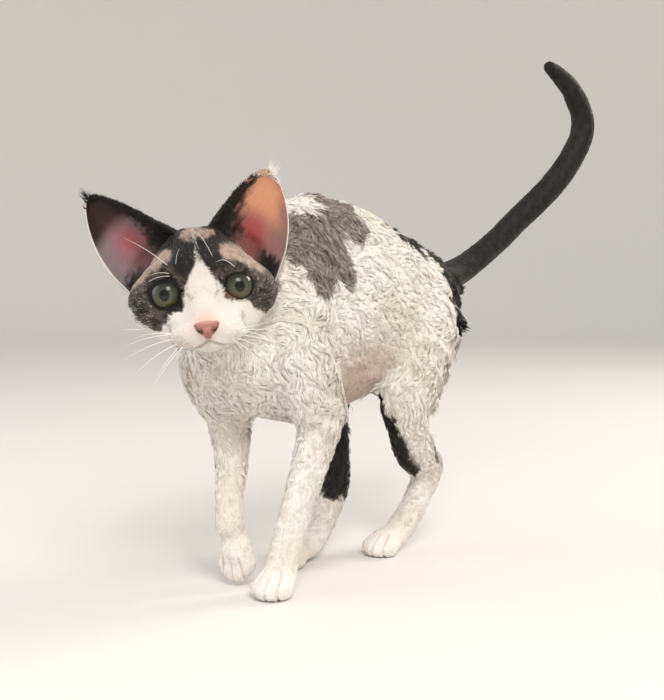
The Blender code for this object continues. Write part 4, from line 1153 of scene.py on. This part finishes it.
# An ear: the sheet and a second one inside it, joined around their edges, with a ridge and folds low inside
def makeEar(side):
    around = np.linspace(-1, 1, ears["around"] + 1)
    rise = np.linspace(-0.22, 1, ears["up"] + 1)
    grid = np.meshgrid(around, rise, indexing="xy")
    sheet = earSheet(side, *grid)
    normal = unit(np.cross(np.gradient(sheet, axis=1), np.gradient(sheet, axis=0)))
    normal = normal * np.sign(normal[..., 1].mean())
    fade = earFade(*grid)[..., None]
    outer = sheet + normal * ears["thickness"] * (0.25 + 0.75 * fade)
    # Cartilage folds: two ridges low in the cup
    fold = 1.3 * np.exp(-(((grid[0] - 0.32) / 0.10) ** 2)) * np.exp(-(((grid[1] - 0.10) / 0.16) ** 2))
    fold = fold + 1.1 * np.exp(-(((grid[0] + 0.30) / 0.12) ** 2)) * np.exp(-(((grid[1] - 0.14) / 0.18) ** 2))
    inside = sheet - normal * (0.15 * fade + fold[..., None])
    rows, columns = len(rise), len(around)
    points = np.vstack([outer.reshape(-1, 3), inside.reshape(-1, 3)])
    quad = gridFaces(rows, columns, ring=False)[:, [0, 3, 2, 1]]
    shift = rows * columns
    border = (
        [(0, c) for c in range(columns)] + [(r, columns - 1) for r in range(1, rows)]
        + [(rows - 1, c) for c in range(columns - 2, -1, -1)] + [(r, 0) for r in range(rows - 2, 0, -1)]
    )
    ring = np.array([r * columns + c for r, c in border])
    after = np.roll(ring, -1)
    wall = np.stack([ring, after, after + shift, ring + shift], axis=-1)
    faces = np.vstack([quad, quad[:, ::-1] + shift, wall])
    world = fromHead(points)
    piece = makeObject("ear_shell_" + side, world, faces)
    faceOut(piece)
    outside = np.arange(len(points)) < shift
    paint(piece, earColours(side, np.tile(grid[0].ravel(), 2), np.tile(grid[1].ravel(), 2), outside, world))
    return finishPiece(piece, earSkin, "dark_coat", "ear_" + side)


earPieces = {side: makeEar(side) for side in ("left", "right")}
print("ears done")

coat = {
    "perMm2": 1.32,  # tufts to a square millimetre on the body
    "lengths": {
        "trunk": 5.6, "fore": ([12, 30, 60, 95, 130, 160], [1.8, 2.4, 3.4, 4.8, 6.0, 6.4]),
        "hind": ([12, 30, 55, 80, 130], [1.8, 2.4, 3.6, 5.4, 6.6]), "paw": 1.9, "tail": 3.0,
    },
    "headLengths": ([-50, -38, -20, 0, 20], [1.2, 2.0, 2.7, 3.8, 4.8]),  # from the nose back
    "width": 0.37, "ridge": 0.5, "rootShade": 0.86,
    "lock": 5.2, "headLock": 3.0, "smallLock": 3.2,  # size of the locks; the small ones on tail and forearms
    "mound": 0.9,  # how far the middle of a lock stands above its edge
    "piece": 32000,  # most tufts in one piece
    "patch": 0.003,  # size of a tuft's patch on the unwrap
    "tick": "a89d93",
    "dark": 0.16,  # the mean colour under which a tuft is of dark hair
}


# Tufts: each is a three-sided spindle of six triangles that rises off the skin and bends down along the lie.
# It starts at its root, is widest at root + (lie x 0.42 + normal x lift) x length, where a triangle of two
# sides and a ridge stands across it, and ends at root + (lie x 0.98 + normal x lift x 0.75) x length.
def makeTufts(name, tufts, material, slot):
    root, lie, normal, length, lift, bend = (
        tufts[key] for key in ("root", "lie", "normal", "length", "lift", "bend")
    )
    side = unit(np.cross(normal, lie))
    middle = root + (lie * 0.42 + normal * lift[:, None] + side * (bend * 0.2)[:, None]) * length[:, None]
    tip = root + (lie * 0.98 + normal * (lift * 0.75)[:, None] + side * bend[:, None]) * length[:, None]
    w = tufts["width"][:, None]
    points = np.stack([root, middle - side * w, middle + side * w, middle + normal * w * coat["ridge"], tip], axis=1)
    count = len(root)
    pattern = [(0, 2, 1), (0, 3, 2), (0, 1, 3), (4, 1, 2), (4, 2, 3), (4, 3, 1)]
    triangles = (np.array(pattern)[None] + (np.arange(count) * 5)[:, None, None]).reshape(-1, 3)
    mesh = bpy.data.meshes.new(name)
    mesh.vertices.add(count * 5)
    mesh.vertices.foreach_set("co", ((points.reshape(-1, 3) + bodyShift) / 1000).ravel())
    mesh.loops.add(len(triangles) * 3)
    mesh.loops.foreach_set("vertex_index", triangles.ravel())
    mesh.polygons.add(len(triangles))
    mesh.polygons.foreach_set("loop_start", np.arange(len(triangles)) * 3)
    mesh.update(calc_edges=True)
    mesh.polygons.foreach_set("use_smooth", np.ones(len(triangles), bool))
    # Darker at the root, where little light reaches
    shade = np.array([coat["rootShade"], 0.97, 0.97, 0.97, 1.0])
    corner = (tufts["colours"][:, None, :] * shade[None, :, None]).reshape(-1, 3)
    layer = mesh.color_attributes.new("coatColour", "FLOAT_COLOR", "POINT")
    layer.data.foreach_set("color", np.hstack([corner, np.ones((len(corner), 1))]).ravel())
    # Each tuft is a small patch at its root's place on the unwrapped skin
    flat = np.array([(0, 0), (-0.5, 0.4), (0.5, 0.4), (0, 0.45), (0, 1)])
    spread = (tufts["uv"][:, None, :] + (flat - np.array([0, 0.5]))[None] * coat["patch"]).reshape(-1, 2)
    bake = mesh.uv_layers.new(name="OFBake")
    bake.data.foreach_set("uv", np.clip(spread[triangles.ravel()], 0, 1).ravel())
    # Shaded as one soft surface: each point's normal is the skin's, leaning to its side of the blade and out
    # from the middle of its lock, and then it leans to the face's own; the faces below keep their own
    across = np.array([0, -0.4, 0.4, 0, 0])[None, :, None]
    ahead = np.array([-0.1, 0.05, 0.05, 0.05, 0.2])[None, :, None]
    soft = (normal + tufts["lean"])[:, None] + side[:, None] * across + lie[:, None] * ahead
    corners = points.reshape(-1, 3)[triangles]
    facing = unit(np.cross(corners[:, 1] - corners[:, 0], corners[:, 2] - corners[:, 0]))
    below = np.tile([1, 0, 0, 1, 0, 0], count)[:, None, None]
    mixed = unit(soft.reshape(-1, 3))[triangles] * (1 - below) + facing[:, None] * (0.6 + 0.4 * below)
    mesh.normals_split_custom_set(unit(mixed.reshape(-1, 3)).tolist())
    return finishPiece(addObject(name, mesh), material, slot)


# The skin's own unwrap, made on a coarse copy: flat islands by the direction of the faces
def unwrapSkin():
    low = fuse("unwrap", skinPoints, readFaces(skinPiece.data), 3.6)
    bpy.context.view_layer.objects.active = low
    for other in bpy.context.selected_objects:
        other.select_set(False)
    low.select_set(True)
    bpy.ops.object.mode_set(mode="EDIT")
    bpy.ops.mesh.select_all(action="SELECT")
    bpy.ops.uv.smart_project(angle_limit=math.radians(66), island_margin=0.002)
    bpy.ops.object.mode_set(mode="OBJECT")
    mesh = low.data
    corners = readAll(mesh.loops, "vertex_index", kind=int)
    starts, totals = (readAll(mesh.polygons, key, kind=int) for key in ("loop_start", "loop_total"))
    uv = readAll(mesh.uv_layers.active.data, "uv", 2)
    points = readPoints(mesh)
    tree = surfaceTree(points, readFaces(mesh))
    bpy.data.objects.remove(low)
    return tree, points, corners, starts, totals, uv


unwrapTree, lowPoints, lowCorners, lowStarts, lowTotals, lowUv = unwrapSkin()
print("unwrap done")


# The place on the unwrap of points near the skin: the nearest face's corners, weighted by nearness
def placeOnUnwrap(points):
    hits = [unwrapTree.find_nearest(p)[2] for p in points.tolist()]
    face = np.array([0 if h is None else h for h in hits])
    index = lowStarts[face][:, None] + np.minimum(np.arange(4)[None], lowTotals[face][:, None] - 1)
    away = np.linalg.norm(lowPoints[lowCorners[index]] - points[:, None], axis=2) + 0.05
    weight = away**-2.0
    return (lowUv[index] * weight[:, :, None]).sum(axis=1) / weight.sum(axis=1, keepdims=True)


# Random places on a mesh, with the normals there: on each triangle as many as its area asks for, at random
# shares of its three corners, so the spread is even
def scatter(points, normals, triangles, perMm2, rng):
    a, b, c = (points[triangles[:, i]] for i in range(3))
    area = np.linalg.norm(np.cross(b - a, c - a), axis=1) / 2
    wanted = area * perMm2[triangles].mean(axis=1)
    number = np.floor(wanted + rng.random(len(wanted))).astype(int)
    chosen = np.repeat(np.arange(len(triangles)), number)
    u, v = rng.random(len(chosen)), rng.random(len(chosen))
    over = u + v > 1
    u, v = np.where(over, 1 - u, u), np.where(over, 1 - v, v)
    place = a[chosen] + (b - a)[chosen] * u[:, None] + (c - a)[chosen] * v[:, None]
    weights = np.stack([1 - u - v, u, v], axis=1)
    return place, unit((normals[triangles[chosen]] * weights[:, :, None]).sum(axis=1))


# Tufts to a square millimetre at the skin's points: nearly twice as many on the head, fewer on the tail, and
# fading to none between the lids, at the nose and the lips, between the toes and on the soles
def coatDensity():
    onHead, inHead = headShare(skinPoints), toHead(skinPoints)
    density = coat["perMm2"] * (1 + 0.9 * onHead) * detail
    density = density * np.where(regionIs(regionOf(skinPoints), "tail"), 0.75, 1.0)
    for side in ("left", "right"):
        _, _, ahead, outside = fromEye(inHead, side)
        near = (ahead > 0) & (np.linalg.norm(inHead - np.array(eyes["centre"][side]), axis=1) < 22)
        density = density * np.where(near, smoothStep(0.5, 1.3, outside), 1)
    noseAway = np.linalg.norm((inHead - np.array([0, -46, -17])) / np.array([1.25, 1.2, 0.9]), axis=1)
    density = density * smoothStep(5.6, 7.0, noseAway)
    lips, _ = lineDistance(inHead, mouth["line"])
    density = density * smoothStep(0.5, 1.3, lips)
    density = density * (1 - 0.9 * toeFurrows(skinPoints))
    return density * (skinPoints[:, 2] > 1.5)


# Which roots stay: all but those of the near ones whose normal meets a surface within reach
def clearOf(trees, root, normal, near, back, reach):
    keep = np.ones(len(root), bool)
    for i in near:
        start = Vector(root[i] - normal[i] * back)
        keep[i] = not any(tree.ray_cast(start, Vector(normal[i]), reach)[0] is not None for tree in trees)
    return keep


# Where the tufts stand, with the normals there: on the skin and on the lids
def coatRoots(rng):
    root, normal = scatter(skinPoints, skinNormals, readTriangles(skinPiece.data), coatDensity(), rng)
    # None under an ear's sheet, through which it would stick out
    shells = [surfaceTree(readPoints(ear.data), readFaces(ear.data)) for ear in earPieces.values()]
    near = np.flatnonzero(toHead(root)[:, 2] > 0)
    near = near[headShare(root[near]) > 0.1]
    keep = clearOf(shells, root, normal, near, 0.0, 4.5)
    root, normal = root[keep], normal[keep]
    # Fur grows on the lids' outer face, and not on the skin under it
    for side, (lidPoints, lidTriangles) in lids.items():
        centre = fromHead(np.array(eyes["centre"][side]))
        lidNormals = pointNormals(lidPoints, lidTriangles)
        lidNormals *= np.sign(dot(lidNormals, lidPoints - centre).mean())
        near = np.flatnonzero(np.linalg.norm(root - centre, axis=1) < 24)
        keep = clearOf([surfaceTree(lidPoints, lidTriangles.tolist())], root, normal, near, 0.3, 3.0)
        outside = fromEye(toHead(lidPoints), side)[3]
        perMm2 = coat["perMm2"] * 1.9 * detail * smoothStep(0.7, 1.5, outside)
        more, moreNormal = scatter(lidPoints, lidNormals, lidTriangles, perMm2, rng)
        root, normal = np.vstack([root[keep], more]), np.vstack([normal[keep], moreNormal])
    return root, normal


# The locks: cells of a warped grid. Returns the vector from each root to its lock's middle, and four numbers
# that the tufts of a lock share, for its turn, lift, bend and shade.
def findLocks(root, size):
    warped = root + np.stack([ripple(root, 13, s) for s in (51, 52, 53)], axis=1) * 3.0
    cell = np.floor(warped / size[:, None]).astype(int)
    _, lock = np.unique(cell, axis=0, return_inverse=True)
    lock = lock.reshape(-1)
    members = np.bincount(lock)
    middle = np.stack([np.bincount(lock, root[:, k]) for k in range(3)], axis=1) / members[:, None]
    rng = np.random.default_rng(body["seed"] + 1)
    turn = rng.normal(0, 1, len(members))
    lift = rng.uniform(-1, 1, len(members))
    bend, shade = (rng.normal(0, 1, len(members)) for _ in range(2))
    return middle[lock] - root, turn[lock], lift[lock], bend[lock], shade[lock]


# Every tuft's shape and colour. Its length goes by region and place; its lie is the coat's, turned by waves
# and by its lock's own turn, and then drawn to the lock's middle; its colour is that of the place it covers.
def growCoat():
    rng = np.random.default_rng(body["seed"])
    root, normal = coatRoots(rng)
    lie, region = coatLie(root, normal)
    onHead = headShare(root)
    inHead = toHead(root)
    count = len(root)
    print("tufts on the skin:", count)

    z = root[:, 2]
    fore, hind, paw, tail = (regionIs(region, word) for word in ("fore", "hind", "paw", "tail"))
    length = byRegion(coat["lengths"], region, z)
    faceLength = np.interp(inHead[:, 1], *coat["headLengths"])
    # Fuller on the cheeks, the whisker pads and between the ears, and over the feet of the ears
    crown = smoothStep(22, 30, inHead[:, 2]) * (1 - smoothStep(10, 20, np.abs(inHead[:, 0])))
    cheek = smoothStep(24, 36, np.abs(inHead[:, 0])) * (1 - smoothStep(-6, 6, inHead[:, 2]))
    pads = np.exp(-((np.linalg.norm((np.abs(inHead) - np.array([12, 37, 21])) / 6.0, axis=1)) ** 2))
    faceLength = faceLength + 1.8 * crown + 1.4 * cheek + 0.7 * pads + 1.4 * earFoot(inHead)
    length = length * (1 - onHead) + faceLength * onHead
    bare = bareness(root) * ~(fore | hind | paw)
    length = length * (1 - 0.45 * bare)
    # Longer, looser tufts behind the upper arms, the thighs and the shanks
    rear = smoothStep(0.25, 0.75, normal[:, 1]) * (fore | hind) * smoothStep(40, 60, z)
    rear = rear * (1 - smoothStep(165, 190, z)) * np.where(fore, smoothStep(80, 110, z), 1.0)
    length = length * (1 + 0.35 * rear)

    # Waves: locks share a turn, a lift and a bend, and their tufts' tips close up
    small = tail | (fore & (z < 70))
    size = np.where(onHead > 0.5, coat["headLock"], np.where(small, coat["smallLock"], coat["lock"]))
    toMiddle, lockTurn, lockLift, lockBend, lockShade = findLocks(root, size)
    curly = np.where(fore, np.interp(z, [30, 100], [0.35, 1.0]), 1.0)
    curly = (1 - onHead) * np.where(paw, 0.1, np.where(tail, 0.35, curly))
    turn = (0.62 * ripple(root, 21, 54) + 0.30 * lockTurn) * curly + rng.normal(0, 0.08, count)
    side = unit(np.cross(normal, lie))
    lie = unit(lie * np.cos(turn)[:, None] + side * np.sin(turn)[:, None])
    toMiddle = toMiddle - normal * dot(toMiddle, normal)
    lie = unit(lie + toMiddle / np.maximum(length, 2)[:, None] * 0.75)
    lift = np.clip(0.15 + 0.07 * lockLift * curly + rng.normal(0, 0.02, count), 0.05, 0.5)
    lift = lift * (1 - 0.35 * onHead) * np.where(tail, 0.6, 1.0)
    lift = lift + 0.16 * rear + onHead * (0.2 * crown + 0.08 * cheek + 0.1 * pads)
    bend = 0.34 * lockBend * curly + rng.normal(0, 0.05, count)
    # A lock is a low mound: its middle stands higher, and its sides lean outwards
    fromMiddle = -toMiddle / (0.6 * size)[:, None]
    reach = np.linalg.norm(fromMiddle, axis=1)
    raised = coat["mound"] * curly * np.clip(1 - reach**2, 0, 1) * (1 - bare)
    lean = fromMiddle * (0.55 * curly / np.maximum(reach, 1.0))[:, None]
    length = length * rng.uniform(0.75, 1.2, count)
    width = coat["width"] * np.interp(length, [1.5, 3, 6], [0.75, 0.9, 1.0])
    width = width * (1 - 0.25 * onHead) * rng.uniform(0.8, 1.2, count)
    colours = coatColours(root + lie * (length * 0.3)[:, None])
    bright = 1 + 0.05 * lockShade + rng.normal(0, 0.05, count)
    colours = np.clip(colours * bright[:, None], 0, 0.93)
    # Ticked hairs: some of the dark ones on the face are pale for most of their length
    dark = colours.mean(axis=1) < 0.12
    pale = rng.random(count) ** 5 * onHead * dark * np.where(inHead[:, 2] > 10, 0.25, 0.9)
    return {
        "root": root + normal * (raised - 0.35)[:, None], "lie": lie, "normal": normal, "length": length,
        "width": width, "lift": lift, "bend": bend, "lean": lean, "uv": placeOnUnwrap(root), "onHead": onHead,
        "colours": blend(colours, toLinear(coat["tick"]), pale),
    }


# Some of the tufts, each array taken at the same places
def pick(tufts, places):
    return {key: values[places] for key, values in tufts.items()}


# Tufts as pieces with even shares of them, none larger than the most in one piece
def coatPieces(label, tufts, material, slot):
    total = len(tufts["root"])
    for number, chunk in enumerate(np.array_split(np.arange(total), max(1, math.ceil(total / coat["piece"])))):
        makeTufts(f"{label}_{number + 1}", pick(tufts, chunk), material, slot)


tufts = growCoat()
isDark = tufts["colours"].mean(axis=1) < coat["dark"]
for label, mask in (("coat_head", tufts["onHead"] > 0.5), ("coat_body", tufts["onHead"] <= 0.5)):
    for shade, choice, material in (("white", mask & ~isDark, whiteFur), ("dark", mask & isDark, darkFur)):
        index = np.flatnonzero(choice)
        # Neighbours stay together, so each piece covers one part of the body
        order = index[np.argsort(np.round(tufts["root"][index, 1] / 6) * 1000 + tufts["root"][index, 2])]
        coatPieces(f"{label}_{shade}", pick(tufts, order), material, shade + "_coat")
print("coat done")


# Down on the ears' backs and on the inner face of the inner edge: its lie runs up the sheet, and its normal is
# the cross product of the steps across and up
def furEar(side):
    rng = np.random.default_rng(body["seed"] + (3 if side == "left" else 4))
    count = int(ears["down"] * detail)
    around, rise = rng.uniform(-1, 1, count), -0.1 + 1.08 * rng.random(count) ** 1.25
    step = 0.01
    here = earSheet(side, around, rise)
    upward = unit(earSheet(side, around, np.minimum(rise + step, 0.999)) - here)
    after, before = (earSheet(side, np.clip(around + way, -1.0, 1.0), rise) for way in (step, -step))
    normal = unit(np.cross(unit(after - before), upward))
    normal = normal * np.sign(normal[:, 1] + 1e-6)[:, None]
    outside = rng.random(count) >= 0.42
    inward = np.clip(0.96 - 0.66 * rise, 0, 1)
    around = np.where(outside, around, -1 + inward * rng.random(count))
    normal[~outside] *= -1
    off = np.where(outside, ears["thickness"] * (0.25 + 0.75 * earFade(around, rise)) - 0.15, -0.1)
    place = earSheet(side, around, rise) + normal * off[:, None]
    keep = ~outside | ((rise < 0.86) & (np.abs(around) < 0.97))
    around, rise, outside, place, upward, normal = (
        part[keep] for part in (around, rise, outside, place, upward, normal)
    )
    count = len(rise)
    length = rng.uniform(1.6, 2.8, count) * np.where(outside, 1.0, 1.25)
    length = length * (1 + 0.8 * (1 - smoothStep(0.0, 0.25, rise)))
    world = fromHead(place)
    bright = 1 + rng.normal(0, 0.08, count)
    colours = np.clip(earColours(side, around, rise, outside, world) * bright[:, None], 0, 0.93)
    return {
        "root": world, "lie": upward @ headMatrix[:3, :3].T, "normal": normal @ headMatrix[:3, :3].T,
        "length": length, "width": np.full(count, 0.34), "lift": np.full(count, 0.16),
        "bend": rng.normal(0, 0.12, count), "lean": 0 * world, "uv": placeOnUnwrap(world), "colours": colours,
    }


for side in ("left", "right"):
    coatPieces("coat_ear_" + side, furEar(side), darkFur, "dark_coat")
print("ear fur done")

# Whiskers: white keratin, smooth and hard, so that a thin bright light runs along each
keratin = makeMaterial(
    "white_keratin",
    {"Roughness": 0.35, "IOR": 1.54, "Specular IOR Level": 0.5, "Base Color": (*toLinear("f4f1ec"), 1)},
)
whiskers = {
    "radius": 0.24,  # at the root; twice the real 0.12 mm, so that they show
    # root and tip in the head's frame, and the sag of the middle
    "hairs": [
        ((-13.5, -38, -19.5), (-45, -36, -22), 2.5), ((-14.5, -37, -21.5), (-46, -40, -29), 3.0),
        ((-13.0, -38.5, -23), (-40, -42, -36), 2.5), ((-12.0, -39, -24.5), (-32, -44, -44), 2.0),
        ((-15.5, -36, -20), (-38, -38, -18), 2.5), ((-14.0, -37, -24.5), (-30, -40, -40), 1.5),
        ((13.5, -38, -19.5), (36, -44, -17), -1.5), ((14.5, -37, -21.5), (42, -44, -24), 1.5),
        ((13.5, -38, -23), (44, -40, -34), 2.0), ((12.5, -38.5, -24.5), (34, -44, -36), 2.0),
        ((14.8, -36.5, -20.5), (38, -46, -30), 1.5), ((12.0, -39, -25), (26, -46, -38), 1.5),
        ((11, -39.5, -23), (17, -47, -31), 1.0),
        # brows and the right cheek
        ((-15.5, -24, 16.0), (-38, -27, 35), 2.0), ((-12.5, -25, 17.0), (-9, -33, 26), 2.0),
        ((8.5, -26, 18), (1, -29, 34), 2.0), ((19.0, -27, 12.5), (9, -33, 16.5), 3.0),
        ((-16.5, -26, 13), (-27, -31, 13.5), 1.2), ((-16, -26.5, 11.5), (-28, -32, 10.5), 1.2),
        ((-32, -13, -16), (-45, -14, -15), -1.0),
    ],
}


# Several closed tubes as one piece, from lines in the head's frame with the radii along them
def makeTubes(name, tubes, sides):
    points, faces, count = [], [], 0
    for line, radii in tubes:
        tube, tubeFaces = tubeSurface(fromHead(line), radii, sides)
        points.append(tube)
        faces += [tuple(index + count for index in corners) for corners in tubeFaces]
        count += len(tube)
    piece = makeObject(name, np.vstack(points), faces)
    faceOut(piece)
    return piece


# Each whisker is a straight line from its root to its tip, raised in the middle by sag x sine, as a tapered tube
def makeWhiskers():
    s = np.linspace(0, 1, 15)
    tubes = []
    for root, tip, sag in whiskers["hairs"]:
        start = np.array(root, float) + np.array([0, 2.0, 0])
        bow = np.array([0, -0.6, 0.8]) * sag * np.sin(math.pi * s[:, None])
        radii = whiskers["radius"] * (1 - 0.82 * s) * (0.75 if root[2] > 0 else 1.0)
        tubes.append((start + (np.array(tip, float) - start) * s[:, None] + bow, radii))
    return finishPiece(makeTubes("whiskers", tubes, 5), keratin, "white_coat")


makeWhiskers()


# The tuft on each ear's tip: fine tapered hairs that fan out from the edge, each a line plus a random bow x sine
def makeEarTip(side):
    rng = np.random.default_rng(body["seed"] + (5 if side == "left" else 6))
    rise = 1 - rng.random(ears["hairs"]) ** 2 * 0.07
    around = rng.uniform(-1, 1, ears["hairs"])
    tip, inner, outer = (np.array(corner, float) for corner in ears[side][:3])
    along = unit(tip - (inner + outer) / 2)
    s = np.linspace(0, 1, 8)
    tubes = []
    for height, place in zip(rise, earSheet(side, around, rise)):
        fan = rng.normal(0, 0.24, 3)
        reach = rng.uniform(3.5, 8.5) * (0.55 + 0.45 * (height > 0.96))
        way = unit(along + fan) * reach + along * 1.2
        bow = rng.normal(0, 0.5, 3) * np.sin(math.pi * s[:, None])
        tubes.append((place - along * 1.2 + way * s[:, None] + bow, 0.26 * (1 - 0.85 * s)))
    piece = makeTubes("ear_tip_" + side, tubes, 4)
    shade, fur = ("white", whiteFur) if side == "left" else ("black", darkFur)
    paint(piece, toLinear(marks[shade]))
    return finishPiece(piece, fur, "white_coat" if side == "left" else "dark_coat")


for side in ("left", "right"):
    makeEarTip(side)
print("whiskers done")

# Floor, lights and camera, in metres
stage = {
    "radius": 2.4, "curve": 0.8, "wall": 1.5, "colour": "e6e4e0",
    "sky": "f2f2f2", "skyStrength": 0.75,
    "aim": (0, 0, 0.18),  # what the lights point at
}


# A round floor that curves up into a low wall: a profile turned about the upright axis
def makeFloor():
    radius, curve = stage["radius"], stage["curve"]
    flat = np.stack([np.linspace(0, 1, 40)[1:] * radius, np.zeros(39)], axis=1)
    angle = np.linspace(0, math.pi / 2, 16)[1:]
    bent = np.stack([radius + curve * np.sin(angle), curve * (1 - np.cos(angle))], axis=1)
    profile = np.vstack([flat, bent, [(radius + curve, curve + stage["wall"])]])
    around = 96
    turn = np.arange(around) * 2 * math.pi / around
    reach, height = profile[:, :1], np.repeat(profile[:, 1:], around, axis=1)
    grid = np.stack([reach * np.cos(turn), reach * np.sin(turn), height], axis=-1)
    points = np.vstack([grid.reshape(-1, 3), [(0, 0, 0)]])
    faces = [tuple(quad) for quad in gridFaces(len(profile), around)]
    faces += [(len(points) - 1, s, (s + 1) % around) for s in range(around)]
    floor = makeObject("floor", points * 1000 - bodyShift, faces)
    # Painted board, pale and matt
    board = makeMaterial("painted_board", {"Roughness": 0.7, "Base Color": (*toLinear(stage["colour"]), 1)})
    floor.data.materials.append(board)


makeFloor()

lights = {
    # place in metres, size, watts, colour
    "key": ((1.0, -0.9, 1.25), 0.8, 20, "fff9f2"),
    "fill": ((-1.2, -1.0, 0.7), 1.2, 8, "f6f9ff"),
    "rim": ((0.6, 1.3, 1.1), 0.6, 13, "fff2e4"),
}
for name, (place, size, watts, colour) in lights.items():
    data = bpy.data.lights.new(name, "AREA")
    data.size = size
    data.energy = watts
    data.color = toLinear(colour)
    lamp = addObject(name, data)
    lamp.location = place
    lamp.rotation_euler = (Vector(stage["aim"]) - Vector(place)).to_track_quat("-Z", "Y").to_euler()
world = bpy.data.worlds.new("studio")
world.use_nodes = True
world.node_tree.nodes["Background"].inputs["Color"].default_value = (*toLinear(stage["sky"]), 1)
world.node_tree.nodes["Background"].inputs["Strength"].default_value = stage["skyStrength"]
bpy.context.scene.world = world
bpy.context.scene.view_settings.view_transform = "Standard"

view = {
    "place": (440.0, -494.7, 196.5),  # millimetres in the body's frame
    "azimuth": 37.0, "down": math.degrees(math.atan(80 / 1100)),
    "lens": 1100 * 36 / 700,  # 1100 pixels on a picture 700 high, for a film of 36 mm
}
cameraData = bpy.data.cameras.new("camera")
cameraData.lens = view["lens"]
camera = addObject("camera", cameraData)
camera.location = (np.array(view["place"]) + bodyShift) / 1000
camera.rotation_euler = (math.radians(90 - view["down"]), 0, math.radians(view["azimuth"]))
bpy.context.scene.camera = camera
